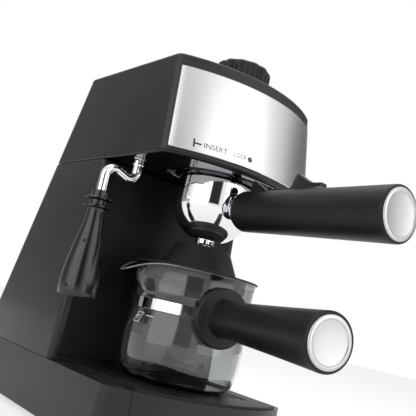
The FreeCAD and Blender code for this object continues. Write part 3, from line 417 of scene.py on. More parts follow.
# %% [markdown]
# Two shape makers.
# Most pieces of this machine are either turned, like the bowl and the grips, or skinned over a
# row of similar outlines, like the housings. One maker spins a half profile about an axis, the
# other joins rings of points. Both take millimetres, which are easier to read at this size, and
# both mark edges sharper than 35 degrees so that smooth shading stops there.

# %% Shape makers
def add_piece(name, points, faces, finish, body, crease=35):
    """Mesh from points in millimetres, dressed, riding on a body."""
    mesh = bpy.data.meshes.new(name)
    mesh.from_pydata([(x / 1000, y / 1000, z / 1000) for x, y, z in points], [], faces)
    work = bmesh.new()
    work.from_mesh(mesh)
    bmesh.ops.remove_doubles(work, verts=work.verts, dist=1e-6)
    bmesh.ops.recalc_face_normals(work, faces=work.faces)
    work.to_mesh(mesh)
    work.free()
    mesh.shade_smooth()
    mesh.set_sharp_from_angle(angle=math.radians(crease))
    mesh.materials.append(finish)
    thing = bpy.data.objects.new(name, mesh)
    bpy.context.scene.collection.objects.link(thing)
    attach(thing, body)
    return thing


def ring_faces(count, around, closed=True):
    """Quads between neighbouring rings of equal length."""
    faces = []
    steps = around if closed else around - 1
    for row in range(count - 1):
        for i in range(steps):
            j = (i + 1) % around
            faces.append((row * around + i, row * around + j,
                          (row + 1) * around + j, (row + 1) * around + i))
    return faces


def skin(name, rings, finish, body, crease=35, loop_back=False, caps=(False, False)):
    """Closed strip over rings of points; caps fill the first and last ring."""
    around = len(rings[0])
    if loop_back:
        rings = list(rings) + [rings[0]]
    points = [p for ring in rings for p in ring]
    faces = ring_faces(len(rings), around)
    if caps[0]:
        faces.append(tuple(range(around)))
    if caps[1]:
        last = (len(rings) - 1) * around
        faces.append(tuple(range(last, last + around)))
    return add_piece(name, points, faces, finish, body, crease)


def turned(name, profile, finish, body, steps=96, place=None, crease=35):
    """Spin (radius, height) points about Z; place is a matrix in millimetres."""
    rings = []
    for radius, height in profile:
        ring = []
        for k in range(steps):
            turn = 2 * math.pi * k / steps
            spot = Vector((radius * math.cos(turn), radius * math.sin(turn), height))
            ring.append(tuple(place @ spot) if place else tuple(spot))
        rings.append(ring)
    return skin(name, rings, finish, body, crease, loop_back=True)


def forward_axis(x, z, turn=0.0):
    """Matrix that lays a turned piece along the front direction at (x, z)."""
    spin = Matrix.Rotation(math.radians(turn), 4, "Z")
    lay = Matrix(((1, 0, 0, 0), (0, 0, -1, 0), (0, 1, 0, 0), (0, 0, 0, 1)))
    return spin @ Matrix.Translation((x, 0, z)) @ lay


def arc(centre_r, centre_h, radius, start, end, count):
    """Points of an arc in a half profile, angles in degrees."""
    made = []
    for k in range(count + 1):
        at = math.radians(start + (end - start) * k / count)
        made.append((centre_r + radius * math.cos(at), centre_h + radius * math.sin(at)))
    return made


print("shape makers ready")

# %% [markdown]
# The outline of the housings.
# Seen from above, the machine is a block with a bowed front: a wide arc, two small corners, straight
# sides and a rounded back. The walls lean in towards the top, so the outline is a function of
# the height. Each housing is then a few of these outlines stacked and joined, and a rounded
# edge is two or three more outlines, each drawn in by a little.

# %% Housing outlines
FRONT_R, FRONT_CORNER, REAR_CORNER = 122.6, 8.0, 15.0
HEAD_LOW, HEAD_HIGH, BASE_HIGH = 204.5, 281.0, 44.0


def half_at(z):
    """Half the width of the machine at a height."""
    return 82.5 - 0.037 * (z - 4)


def rear_at(z):
    """Where the leaning back is at a height."""
    return 206 - 0.262 * (z - 4)


def bow_at(z):
    """How far the bowed front stands out at a height."""
    return 51.2 - 0.19 * (z - HEAD_LOW)


def column_at(z):
    """Where the front of the column is at a height."""
    return 49 + 0.04 * (z - BASE_HIGH)


def corner(cx, cy, radius, start, end, count=8):
    """Points of a rounded corner, angles in degrees."""
    turns = [math.radians(start + (end - start) * k / count) for k in range(count + 1)]
    return [(cx + radius * math.cos(t), cy + radius * math.sin(t)) for t in turns]


def bowed_outline(z, inset=0.0, bow=None):
    """Outline of head or base at a height, drawn in by inset."""
    half = half_at(z) - inset
    front = bow_at(z) if bow is None else bow
    big = FRONT_R - inset
    small = max(FRONT_CORNER - inset, 0.5)
    back = rear_at(z) - inset
    rc = REAR_CORNER - inset
    centre_y = FRONT_R - front
    side_y = centre_y - math.sqrt((big - small) ** 2 - (half - small) ** 2)
    lean = math.degrees(math.atan2(side_y - centre_y, half - small))
    right = corner(half - small, side_y, small, lean, 0)
    rear = corner(half - rc, back - rc, rc, 0, 90) + corner(rc - half, back - rc, rc, 90, 180)
    left = [(-x, y) for x, y in reversed(right)]
    sweep = math.radians(90 + lean)
    bow_line = [(big * math.sin(sweep * k / 20), centre_y - big * math.cos(sweep * k / 20))
                for k in range(-19, 20)]
    return [(x, y, z) for x, y in right + rear + left + bow_line]


def block_outline(z, inset=0.0):
    """Outline of the column: flat front, rounded corners."""
    half, back = half_at(z) - inset, rear_at(z) - inset
    front, fc, rc = column_at(z) + inset, 5 - inset, REAR_CORNER - inset
    points = corner(half - fc, front + fc, fc, -90, 0) + corner(half - rc, back - rc, rc, 0, 90)
    points += corner(rc - half, back - rc, rc, 90, 180)
    points += corner(fc - half, front + fc, fc, 180, 270)
    return [(x, y, z) for x, y in points]


print("head is", round(2 * half_at(HEAD_LOW)), "mm wide at its lower edge")

# %% [markdown]
# The head housing.
# The head is one moulding: a leaning shell whose lower edge is rolled inwards. The roll is what
# catches a thin line of light along the bottom, so it gets three outlines of its own. In front
# the edge is lifted by a millimetre and a half, to clear the handle, and a fine glossy bead runs
# along it.

# %% Head housing
def lift_front(ring, lift):
    """Raise the bowed part of an outline by a little."""
    raised = []
    for x, y, z in ring:
        share = min(max((-18.0 - y) / 16.0, 0.0), 1.0)
        raised.append((x, y, z + lift * share))
    return raised


rings = [bowed_outline(HEAD_HIGH, 2.5), bowed_outline(HEAD_HIGH)]
rings += [bowed_outline(z) for z in (275, 262, 248, 234, 220, 211)]
for z, inset, lift in ((207.2, 0.0, 0.6), (205.6, 0.1, 1.5), (204.8, 0.5, 1.5),
                       (204.5, 1.2, 1.5), (204.6, 2.0, 1.5), (205.2, 2.5, 1.5), (209, 2.5, 0)):
    rings.append(lift_front(bowed_outline(z, inset), lift))
rings += [bowed_outline(240, 2.5)]
head_shell = skin("head_shell", rings, housing_plastic, "machine",
                  crease=50, loop_back=True)
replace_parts(head_shell, "head_housing")
SILL_Z = 206.4
sill = sorted(spot for spot in bowed_outline(SILL_Z, -0.05) if spot[1] < -16)
bead = []
for x, y, z in sill:
    out = Vector((x, y - (FRONT_R - bow_at(SILL_Z)), 0)).normalized()
    bead.append([(x + out.x * 0.42 * math.cos(t), y + out.y * 0.42 * math.cos(t),
                  z + 0.9 + 0.5 * math.sin(t)) for t in [math.pi * k / 4 for k in range(8)]])
skin("front_sill_bead", bead, gloss_plastic, "machine", caps=(True, True))
print("head shell has", len(head_shell.data.polygons), "faces")

# %% [markdown]
# The top cover.
# A lid plate closes the head, with a large hole for the filler cap and a small one for the lamp. A
# round edge softens it. The plate is made of outlines like the shell; its top is flat, and the
# two holes are cut with a boolean, because a hole in a skinned shape is awkward by hand.

# %% Top cover
rings = [bowed_outline(281.02, 2.0), bowed_outline(281.02, 0.0, bow_at(281))]
for rise, draw in ((1.6, 0.0), (2.6, 0.25), (3.3, 0.75), (3.8, 1.45), (4.0, 2.4)):
    rings.append([(x, y, 281 + rise) for x, y, _ in bowed_outline(281, draw)])
cover = skin("top_cover_plate", rings, housing_plastic, "machine",
             crease=40, caps=(True, True))


def cut_round(piece, x, y, z, radius, depth, name):
    """Cut an upright round hole through a piece."""
    bpy.ops.mesh.primitive_cylinder_add(vertices=96, radius=radius / 1000, depth=depth / 1000,
                                        location=(x / 1000, y / 1000, z / 1000))
    tool = bpy.context.object
    hole = piece.modifiers.new(name, "BOOLEAN")
    hole.operation = "DIFFERENCE"
    hole.object = tool
    hole.solver = "EXACT"
    bpy.context.view_layer.objects.active = piece
    bpy.ops.object.modifier_apply(modifier=name)
    bpy.data.objects.remove(tool)


cut_round(cover, 0, 0, 283, 24.5, 20, "filler_hole")
cut_round(cover, 48, 4, 283, 3.6, 20, "lamp_hole")
cover.data.set_sharp_from_angle(angle=math.radians(40))
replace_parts(cover, "top_cover")
print("cover has", len(cover.data.polygons), "faces")

# %% [markdown]
# The column.
# Below the head the body goes on as a hollow column that leans back. A shallow groove runs around
# its top, where the head sits on it: two mouldings never meet in a perfect line, and the dark
# joint tells the eye that they are two. Its face towards the cup bay is a separate plate whose
# near black colour is painted shade, for the shadow that the head casts over the bay.

# %% Column
rings = [block_outline(HEAD_LOW, 2.5)]
rings += [block_outline(z, inset) for z, inset in
          ((204.5, 1.2), (204.0, 0.7), (203.6, 0.7), (203.3, 0.15), (202.9, 0.0), (160, 0.0),
           (120, 0.0), (80, 0.0), (45.2, 0.0), (44.2, 0.4), (44.05, 2.5))]
column = skin("column_wall", rings, housing_plastic, "machine",
              crease=50, loop_back=True)
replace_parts(column, "column_shell")
# the bay plate is coloured near black as painted shade under the overhanging head
bay_rings = []
for z, proud in ((47.5, 0.0), (47.9, 0.35), (125, 0.35), (202.2, 0.35), (202.6, 0.0)):
    wide = half_at(z) - 6.5 - (0.4 - proud)
    y = column_at(z)
    bay_rings.append([(-wide, y - proud, z), (wide, y - proud, z), (wide, y + 0.4, z),
                      (-wide, y + 0.4, z)])
skin("bay_back_plate_painted_shade", bay_rings, bay_painted_shade_plastic, "machine",
     caps=(True, True))
print("column made")

# %% [markdown]
# The underside of the head.
# A flat plate closes the head from below. It is a glossy moulding, and because it is seen at a
# very low angle it mirrors the bowl and the bright surroundings almost like metal. The collar
# that takes the portafilter sits over a round hole in it, with two ramps inside for the ears.

# %% Underside and brew collar
WAND_X, WAND_Y = -63.5, 20.0
under_z = 205.5
back_y = column_at(HEAD_LOW) - 0.4
plate_line = [(x, y) for x, y, _ in bowed_outline(under_z, 2.9) if y < back_y]
side_x = half_at(under_z) - 2.9
plate_line += [(side_x, back_y), (-side_x, back_y)]
plate_line.sort(key=lambda p: math.atan2(p[1] - 20, p[0]))
rings = [[(x, y, z) for x, y in plate_line] for z in (under_z - 0.2, under_z + 2.2)]
underside = skin("underside_plate", rings, mirror_black, "machine",
                 caps=(True, True))
cut_round(underside, 0, 0, under_z, 42.4, 20, "collar_hole")
cut_round(underside, WAND_X, WAND_Y, under_z, 5.7, 20, "wand_hole")
underside.data.set_sharp_from_angle(angle=math.radians(35))
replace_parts(underside, "head_underside")
collar = [(42.5, 216), (42.5, 208.3), (42.8, 207.9), (44.9, 207.9), (45.5, 208.3), (45.5, 216),
          (42.2, 221.9), (0.01, 221.9), (0.01, 216)]
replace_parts(turned("brew_collar", collar, cast_metal, "machine", 144),
            "brew_head")
for start in (-30, 150):
    ramp_rings = []
    for k in range(17):
        at = math.radians(start + 80 * k / 16)
        rise = 0.8 * k / 16
        ramp_rings.append([(r * math.cos(at), r * math.sin(at), z) for r, z in
                           ((36.8, 206.2 + rise), (42.3, 206.2 + rise), (42.3, 209.2),
                            (36.8, 209.2))])
    # the ramps are coloured near black as painted shade inside the collar
    skin("locking_ramp_%d" % (start + 30), ramp_rings, painted_shade_metal, "machine",
         caps=(True, True))
print("underside, collar and two ramps made")

# %% [markdown]
# The steel front.
# The front is a strip of brushed sheet, bowed with the housing and standing a millimetre proud. Its
# cut edge is bright, so the strip has small chamfers all around: they mirror another part of
# the studio than the face does, and draw a fine light line.

# %% Steel front
def face_y(x, z, proud=1.0):
    """Where the steel front lies, for a place across and a height."""
    return (FRONT_R - bow_at(z)) - math.sqrt((FRONT_R + proud) ** 2 - x * x)


STEEL_HALF, STEEL_LOW = 71.8, 210.5
rings = []
for z, proud, short in ((STEEL_LOW, 0.1, 0.45), (STEEL_LOW, 0.6, 0.45), (210.95, 1.0, 0.0),
                        (226, 1.0, 0.0), (243, 1.0, 0.0), (260, 1.0, 0.0),
                        (274.55, 1.0, 0.0), (275, 0.6, 0.45), (275, 0.1, 0.45)):
    wide = STEEL_HALF - 0.037 * (z - STEEL_LOW) - short
    outer = [(wide * k / 30, face_y(wide * k / 30, z, proud), z) for k in range(-29, 30)]
    edge = [(wide, face_y(wide, z, proud - 0.4), z), (wide, face_y(wide, z, 0.05), z)]
    inner = [(wide * k / 30, face_y(wide * k / 30, z, 0.05), z) for k in range(29, -30, -1)]
    other = [(-x, y, z) for x, y, z in reversed(edge)]
    rings.append(outer + edge + inner + other)
steel_front = skin("steel_front_strip", rings, front_steel, "machine", crease=25)
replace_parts(steel_front, "front_panel")
print("steel front is", round(2 * STEEL_HALF), "mm wide")

# %% [markdown]
# The printed marks.
# Two words and two small signs show how the portafilter goes in and where it locks. They are
# screen printed. Blender turns text into flat faces, and a short function lays every point on
# the bowed steel, a few hundredths of a millimetre in front of it.

# %% Marks on the steel
INK_PROUD = 1.05


def wrap_on_front(points):
    """Lay flat points, across and up in millimetres, on the steel front."""
    return [(x, face_y(x, z, INK_PROUD), z) for x, z in points]


def lettering(name, word, left, bottom, height, width, slope, finish, wrap, body):
    """Text as faces, scaled to a height and a width and laid on a surface."""
    curve = bpy.data.curves.new(name + "_line", "FONT")
    curve.body = word
    source = bpy.data.objects.new(name + "_source", curve)
    scene.collection.objects.link(source)
    bpy.context.view_layer.update()
    flat = bpy.data.meshes.new_from_object(source.evaluated_get(
        bpy.context.evaluated_depsgraph_get()))
    bpy.data.objects.remove(source)
    xs = [v.co.x for v in flat.vertices]
    ys = [v.co.y for v in flat.vertices]
    across = width / (max(xs) - min(xs))
    up = height / (max(ys) - min(ys))
    places = [(left + (v.co.x - min(xs)) * across,
               bottom + (v.co.y - min(ys)) * up + slope * (v.co.x - min(xs)) * across)
              for v in flat.vertices]
    faces = [tuple(f.vertices) for f in flat.polygons]
    add_piece(name, wrap(places), faces, finish, body)
    bpy.data.meshes.remove(flat)


def dot(name, x, z, outer, inner, finish):
    """Round spot with a pinhole in it, laid on the steel front."""
    turns = [2 * math.pi * k / 40 for k in range(40)]
    edges = [(x + r * math.cos(t), z + r * math.sin(t)) for r in (outer, inner) for t in turns]
    add_piece(name, wrap_on_front(edges), ring_faces(2, 40), finish, "machine")


def bar(name, x0, x1, z0, z1, finish):
    """Printed bar laid on the steel front."""
    corners = [(x0, z0), (x1, z0), (x1, z1), (x0, z1)]
    add_piece(name, wrap_on_front(corners), [(0, 1, 2, 3)], finish, "machine")


bar("insert_mark_upright", -57.1, -56.0, 213.7, 220.0, ink)
bar("insert_mark_level", -56.0, -51.4, 216.2, 217.4, ink)
lettering("insert_word", "INSERT", -49.6, 215.0, 3.9, 17.0, 0.02, ink, wrap_on_front,
          "machine")
lettering("lock_word", "LOCK", -27.0, 215.9, 3.7, 10.8, 0.02, grey_ink, wrap_on_front,
          "machine")
dot("lock_dot", -13.4, 217.6, 2.0, 0.35, ink)
print("marks printed")

# %% [markdown]
# The portafilter bowl.
# It is a deep drawn bowl: a short cylinder on top of a half sphere, with a flared rim that carries
# two ears, plated in bright chrome. A mirror finish shows every facet, so it is spun with many
# steps. The ring above it, that the ears are pressed from, is coloured near black: painted shade
# and painted reflection of the dark gap under the collar.

# %% Bowl, rim and ears
BOWL_R, BOWL_Z, WALL = 31.0, 186.0, 2.2
outer = [(12.2, 157.6)] + arc(0, BOWL_Z, BOWL_R, -64, 0, 40)
outer += [(31, 190), (31, 196), (31, 204.6)]
inner = [(28.8, 204.6), (28.8, BOWL_Z)] + arc(0, BOWL_Z, BOWL_R - WALL, 0, -78, 40)
inner += [(5, 158), (5, 157.6)]
bowl = turned("bright_bowl", outer + inner, chrome, "portafilter", 180)
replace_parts(bowl, "portafilter_bowl")
rim = [(28.8, 204.62), (31.02, 204.62), (31.5, 204.9), (32.9, 205.2), (34.6, 205.4), (35.3, 205.8),
       (35.6, 206.6), (35.6, 211.9), (35.2, 212.5), (28.8, 212.5)]
# near black rim ring: painted shade and painted reflection of the dark under the head
turned("bowl_rim_ring", rim, painted_shade_metal, "portafilter", 160)
EAR_R, EAR_ROOT, EAR_HALF_ANGLE = 41.4, 34.6, 0.24
for sign in (1, -1):
    edge = []
    for k in range(-5, 6):
        at = EAR_HALF_ANGLE * k / 5
        edge.append((sign * EAR_R * math.cos(at), EAR_R * math.sin(at)))
    edge += [(sign * EAR_ROOT, 9.8), (sign * EAR_ROOT, -9.8)]
    ear = [[(x, y, height) for x, y in edge] for height in (209.5, 212.5)]
    skin("bowl_ear_" + ("right" if sign > 0 else "left"), ear, painted_shade_metal, "portafilter",
         caps=(True, True))
print("bowl", len(bowl.data.polygons), "faces")

# %% [markdown]
# The neck and the spout.
# A chromed neck ties the grip to the bowl; where it meets the grip it spreads into a washer,
# which the bowl mirrors. The spout under the bowl is a short turned stub, slotted
# crosswise so that the coffee falls in two streams: that gives four separate lips.

# %% Neck and spout
boss = [(3, 28.5), (6.6, 28.5), (6.8, 30.2), (6.8, 31.2), (6.2, 31.8), (3, 31.8)]
turned("bowl_handle_boss", boss, chrome, "portafilter", 72,
       forward_axis(0, GRIP_Z))
neck = [(3.05, 31.7), (5.2, 31.7), (5.2, 36.0), (6.0, 36.8), (12.3, 37.0), (12.7, 37.3),
        (12.5, 38.2), (3.05, 38.2)]
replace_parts(turned("handle_neck", neck, chrome, "portafilter", 72,
                   forward_axis(0, GRIP_Z)), "handle_ferrule")
root = [(3.4, 157.0), (7.5, 157.0), (7.5, 157.7), (10.4, 158.3), (10.4, 158.9), (3.4, 158.9)]
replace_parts(turned("spout_root", root, chrome, "portafilter", 96),
            "portafilter_spout")
for quarter in range(4):
    walls = []
    for radius, height in ((3.4, 154), (6.9, 154), (7.5, 154.6), (7.5, 157.2), (3.4, 157.2)):
        walls.append([(radius * math.cos(a), radius * math.sin(a), height) for a in
                      [math.radians(quarter * 90 + 9 + 72 * k / 10) for k in range(11)]])
    points = [p for wall in walls for p in wall]
    faces = ring_faces(5, 11, closed=False)
    faces += [(44 + i, 45 + i, i + 1, i) for i in range(10)]
    faces += [(0, 11, 22, 33, 44), (54, 43, 32, 21, 10)]
    add_piece("spout_lip_%d" % quarter, points, faces, chrome, "portafilter")
print("neck and four spout lips made")

# %% [markdown]
# The grips.
# Both grips are flared black mouldings, round at the root, a little thicker towards the free end,
# and closed by a silver disc that sits inside a thin black rim. They are turned along the
# forward axis. Rim and disc are separate pieces, so the edge between them stays crisp.

# %% Portafilter grip
def flared_grip(name, start, end, thin, thick, cap_r, place, body, node, cap_node, cap_metal,
                root):
    """Grip from its root outline to the recess for a silver end disc."""
    sweep = [(2.6, start)] + root
    low = root[-1][1]
    for k in range(1, 15):
        part = k / 14
        sweep.append((thin + (thick - thin) * (0.75 * part + 0.25 * part ** 2),
                      low + (end - 3.4 - low) * part))
    sweep += [(thick, end - 1.3), (thick - 0.3, end - 0.4), (thick - 0.8, end)]
    sweep += [(cap_r + 0.15, end), (cap_r + 0.02, end - 0.4), (cap_r + 0.02, end - 2.6),
              (2.6, end - 2.6)]
    grip = turned(name, sweep, grip_plastic, body, 128, place)
    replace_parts(grip, node)
    disc = [(0.01, end - 2.5), (cap_r - 0.1, end - 2.5), (cap_r - 0.1, end - 0.3),
            (cap_r - 0.5, end + 0.4), (cap_r - 1.2, end + 0.75), (cap_r - 2.6, end + 0.7),
            (cap_r - 3.2, end + 0.1), (cap_r - 3.8, end - 0.1), (0.01, end + 0.1)]
    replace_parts(turned(name + "_end_disc", disc, cap_metal, body, 128, place),
                cap_node)


rounded_root = arc(15.2 - 5, 37.7 + 5, 5, -90, 0, 10)
flared_grip("portafilter_grip", 37.7, 176.7, 15.2, 17.7, 16.4, forward_axis(0, GRIP_Z),
            "portafilter", "portafilter_handle", "handle_end_cap", grip_cap_metal,
            rounded_root)
print("portafilter grip made")

# %% [markdown]
# The thumb guard.
# A flip guard holds the filter when the grounds are knocked out. It hinges on the root of the grip:
# two wedges hold its pin, a thin bar lies along the grip, and a steep fin rises before the
# hollow for the thumb. Its underside follows the round grip, with a little more room at the
# heel so that it can lift, and its top is arched. Each cross section is a small saddle, and the
# crest line gives its height.

# %% Thumb guard
PIVOT_Y = -52.0
CREST = [(-48.4, 201.0), (-49.4, 203.0), (-51.0, 203.6), (-53.5, 203.2), (-56.5, 201.4),
         (-60.5, 199.0), (-65, 198.3), (-74, 198.4), (-83, 198.7), (-86.0, 199.0),
         (-86.9, 201.6), (-87.7, 206.0), (-88.7, 208.6), (-89.9, 209.5), (-91.4, 209.1),
         (-93.6, 207.9), (-96.6, 206.3), (-99.2, 204.9), (-102.0, 203.5), (-105.0, 202.6),
         (-108.4, 202.2), (-111.4, 202.3), (-112.8, 202.3), (-113.0, 201.9)]


def grip_girth(y):
    """Radius of the portafilter grip at a place along it."""
    part = min(max((-y - 42.7) / 130.6, 0.0), 1.0)
    return 15.2 + 2.5 * (0.75 * part + 0.25 * part ** 2)


saddle = []
for y, crest in CREST:
    guard_half = 6.0 if y > -60 else 3.4
    across = [guard_half * math.sin(math.pi * k / 24) for k in range(-12, 13)]
    clear = 0.35 + 0.22 * max(y - PIVOT_Y, 0.0)
    under = [(x, y, GRIP_Z + math.sqrt((grip_girth(y) + clear) ** 2 - x * x))
             for x in across]
    if y < -100:
        under = [(x, y, z + 0.9 * min((-100 - y) / 8, 1)) for x, _, z in under]
    middle = under[12][2]
    upper = []
    for x, _, low in reversed(under):
        share = (1 - min(abs(x) / guard_half, 1.0) ** 5) ** (1 / 5)
        upper.append((x, y, max(low + 0.15, middle + (crest - middle) * share)))
    saddle.append(under + upper)
guard = skin("thumb_guard_wave", saddle, gloss_plastic, "guard", 40,
             caps=(True, True))
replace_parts(guard, "thumb_guard")
WEDGE = [(-51.4, 191.5), (-51.2, 199.0), (-51.4, 202.4), (-52.6, 203.3), (-54.0, 203.0),
         (-58.2, 201.2), (-66.6, 196.5), (-67.6, 195.5), (-67.8, 191.5)]
for sign in (1, -1):
    cheek = []
    for x, draw in ((6.2, 0.0), (7.6, 0.0), (8.2, 0.6)):
        cheek.append([(sign * x, y * (1 - draw * 0.002) - 0.1 * draw, z - draw * 0.7)
                      for y, z in WEDGE])
    skin("guard_cheek_" + ("right" if sign > 0 else "left"), cheek, gloss_plastic,
         "portafilter", caps=(True, True))
print("thumb guard is", round(CREST[0][0] - CREST[-1][0]), "mm long")

# %% [markdown]
# The jug glass.
# The jug is blown: a rounded foot, a wide belly, a waist for the metal band and an upright wall above
# it that turns out into a rim. On one side the rim dips and is drawn out to a pouring lip. The
# wall is a grid of points, by angle and by height, and the lip is one bell-shaped bump in that
# grid. The second skin lies two millimetres inside, as real glass has. The rim itself was melted
# round in a flame, so it ends in a fine bead; the light line around the mouth is partly its
# reflections and partly a painted highlight in the bead's grey glass.

# %% Jug glass
JUG_TURN = -9.0
jug_place = Matrix.Rotation(math.radians(JUG_TURN), 4, "Z")
BODY_LINE = [(30.5, 46.15), (35.5, 46.35), (40.2, 48.2), (43.6, 52.2), (45.6, 57.4), (46.8, 64),
             (47.0, 70), (47.0, 79), (46.6, 85.5), (45.7, 91.4), (45.05, 94.6), (45.0, 98),
             (45.0, 106.4), (45.3, 107.8), (46.0, 108.9)]
RIM_Z, RIM_R, LIP_REACH, LIP_DIP = 130.3, 47.5, 63.6, 10.2


def bell(angle, wide):
    """1 towards the pouring lip, which points to -X, and 0 away from it."""
    off = math.degrees(abs(math.remainder(angle - math.pi, 2 * math.pi)))
    return math.exp(-(off / wide) ** 2)


def jug_wall(angle, inner):
    """One upright line of the glass from foot to rim."""
    thick = 2.0 if inner else 0.0
    line = []
    for radius, z in BODY_LINE:
        line.append((max(radius - thick, 1), max(z, 48.6 if inner else 46.1)))
    share = 0.6 * bell(angle, 12) + 0.4 * bell(angle, 24)
    rim_z = RIM_Z - LIP_DIP * share ** 1.15
    lip = (LIP_REACH - RIM_R) * share
    for k in range(1, 21):
        part = k / 20
        flare = max((part - 0.8) / 0.2, 0.0) ** 1.5
        reach = 46.2 + (RIM_R - 46.2) * flare + lip * part ** 2
        thin = thick * (1 - 0.45 * part ** 8)
        line.append((reach - thin, 108.9 + (rim_z - 108.9) * part))
    return line


ANGLES = []
for k in range(144):
    ANGLES.append(2 * math.pi * k / 144)
outside = [jug_wall(a, False) for a in ANGLES]
inside = [jug_wall(a, True) for a in ANGLES]
rings = []
for row in range(len(outside[0])):
    rings.append([tuple(jug_place @ Vector((r * math.cos(a), r * math.sin(a), z)))
                  for a, (r, z) in zip(ANGLES, [line[row] for line in outside])])
rings.append([tuple(jug_place @ Vector(((o[-1][0] - 0.45) * math.cos(a),
                                        (o[-1][0] - 0.45) * math.sin(a), o[-1][1] + 0.45)))
              for a, o in zip(ANGLES, outside)])
for row in range(len(inside[0]) - 1, -1, -1):
    rings.append([tuple(jug_place @ Vector((r * math.cos(a), r * math.sin(a), z)))
                  for a, (r, z) in zip(ANGLES, [line[row] for line in inside])])
jug = skin("jug_glass_wall", rings, jug_glass, "carafe", crease=60,
           caps=(True, True))
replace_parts(jug, "carafe_glass")
bead = []
for a, line in zip(ANGLES, outside):
    r, z = line[-1][0] - 0.75, line[-1][1] + 0.1
    bead.append([tuple(jug_place @ Vector(((r + 0.8 * math.cos(t)) * math.cos(a),
                                           (r + 0.8 * math.cos(t)) * math.sin(a),
                                           z + 0.6 * math.sin(t))))
                 for t in [math.pi * k / 5 for k in range(10)]])
# the bead's grey glass is a painted highlight
skin("jug_rim_bead", bead, rim_glass_painted_highlight, "carafe", crease=60, loop_back=True)
print("jug glass", len(jug.data.polygons), "faces")

# %% [markdown]
# The jug band, its handle and its lid.
# A polished band is clamped around the waist, and its lug carries the handle: a wide disc, then a
# flared grip like the other one. The lid is a tall cone over a flat flange, with a hole on top for
# the stream of coffee. All of them are turned shapes that share the jug's turn about the axis.

# %% Band, handle and lid
band = [(45.05, 96.9), (45.5, 96.7), (46.0, 97.0), (46.0, 104.5), (45.5, 104.8), (45.05, 104.6)]
jug_band = turned("jug_band", band, chrome, "carafe", 144, jug_place)
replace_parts(jug_band, "carafe_band")
lug = []
for y in (-45.2, -46.6, -48.1):
    lug.append([tuple(jug_place @ Vector((x, y, z))) for x, z in
                ((-7, 96.9), (7, 96.9), (7, 104.6), (-7, 104.6))])
skin("jug_band_lug", lug, chrome, "carafe", caps=(True, True))
jug_axis = forward_axis(0, 101.2, JUG_TURN)
jug_root = [(20.7, 48.2), (21.5, 49.0), (21.5, 51.8), (20.6, 52.9), (15.6, 53.4), (13.6, 54.2),
            (12.8, 56.0)]
flared_grip("jug_grip", 48.2, 167.0, 12.7, 17.5, 15.9, jug_axis, "carafe", "carafe_handle",
            "carafe_handle_cap", jug_cap_metal, jug_root)
cone = [(8, 150.6), (8.6, 151.2), (21.2, 151.2), (22.0, 150.5), (29.6, 135.2), (30.6, 133.6),
        (32.2, 132.6), (47.4, 132.0), (48.0, 131.6), (48.0, 130.8), (47.6, 130.45),
        (39.0, 130.4), (39.0, 121.5), (37.2, 121.3), (37.2, 130.0), (28.0, 131.6), (20.0, 149.2),
        (8.0, 149.2)]
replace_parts(turned("jug_lid", cone, lid_plastic, "carafe_cover", 144, jug_place),
            "carafe_lid")
print("band, handle and lid made")

# %% [markdown]
# The cup scale.
# A fill mark is printed in white on the glass: a short level line and the number of cups in a
# little frame. The same lettering function serves, with another way of laying it on the surface.

# %% Scale on the glass
def wrap_on_jug(points):
    """Lay flat points, along the girth and up in millimetres, on the jug."""
    laid = []
    for along, z in points:
        radius = 46.65 if z < 91 else 45.75
        angle = along / radius
        laid.append((radius * math.cos(angle), radius * math.sin(angle), z))
    return laid


MARK_AT = math.radians(184) * 46.2
lettering("cup_number", "4", MARK_AT - 1.5, 88.2, 3.6, 3.0, 0.0, pale_ink, wrap_on_jug,
          "carafe")
for name, a0, a1, z0, z1 in (("cup_frame_left", -3.2, -2.5, 87.2, 92.9),
                             ("cup_frame_right", 2.4, 3.1, 87.2, 92.9),
                             ("cup_frame_top", -3.2, 3.1, 92.9, 93.5),
                             ("cup_frame_base", -4.0, 3.9, 85.9, 86.6),
                             ("cup_level_line", 5.4, 12.5, 91.3, 92.0)):
    corners = []
    for k in range(9):
        corners.append((MARK_AT + a0 + (a1 - a0) * k / 8, z0))
    for k in range(8, -1, -1):
        corners.append((MARK_AT + a0 + (a1 - a0) * k / 8, z1))
    faces = [(k, k + 1, 16 - k, 17 - k) for k in range(8)]
    add_piece(name, wrap_on_jug(corners), faces, pale_ink, "carafe")
print("cup scale printed")

# %% [markdown]
# The steam wand.
# A thin chromed tube leaves a nut under the head, drops, cranks outwards and up, and turns down
# again. It is bent on a former, so every bend has the same round radius. A sweep along short
# runs joined by arcs gives that; the function rounds each corner of the route by itself.

# %% Steam wand
def bent_tube(name, route, bend, radius, finish, body, steps=40):
    """Round tube along a route with its corners bent to a radius."""
    spots = [Vector(p) for p in route]
    line = [spots[0]]
    for before, here, after in zip(spots, spots[1:], spots[2:]):
        a, b = (before - here).normalized(), (after - here).normalized()
        half = a.angle(b) / 2
        reach = bend / math.tan(half)
        middle = here + (a + b).normalized() * (bend / math.sin(half))
        start, end = here + a * reach, here + b * reach
        for k in range(13):
            turn = (start - middle).lerp(end - middle, k / 12).normalized()
            line.append(middle + turn * bend)
    line.append(spots[-1])
    sideways = Vector((0, 1, 0))
    rings = []
    for k, spot in enumerate(line):
        ahead = (line[min(k + 1, len(line) - 1)] - line[max(k - 1, 0)]).normalized()
        other = sideways.cross(ahead).normalized()
        rings.append([tuple(spot + radius * (sideways * math.cos(t) + other * math.sin(t)))
                      for t in [2 * math.pi * n / steps for n in range(steps)]])
    return skin(name, rings, finish, body, crease=50, caps=(True, True))


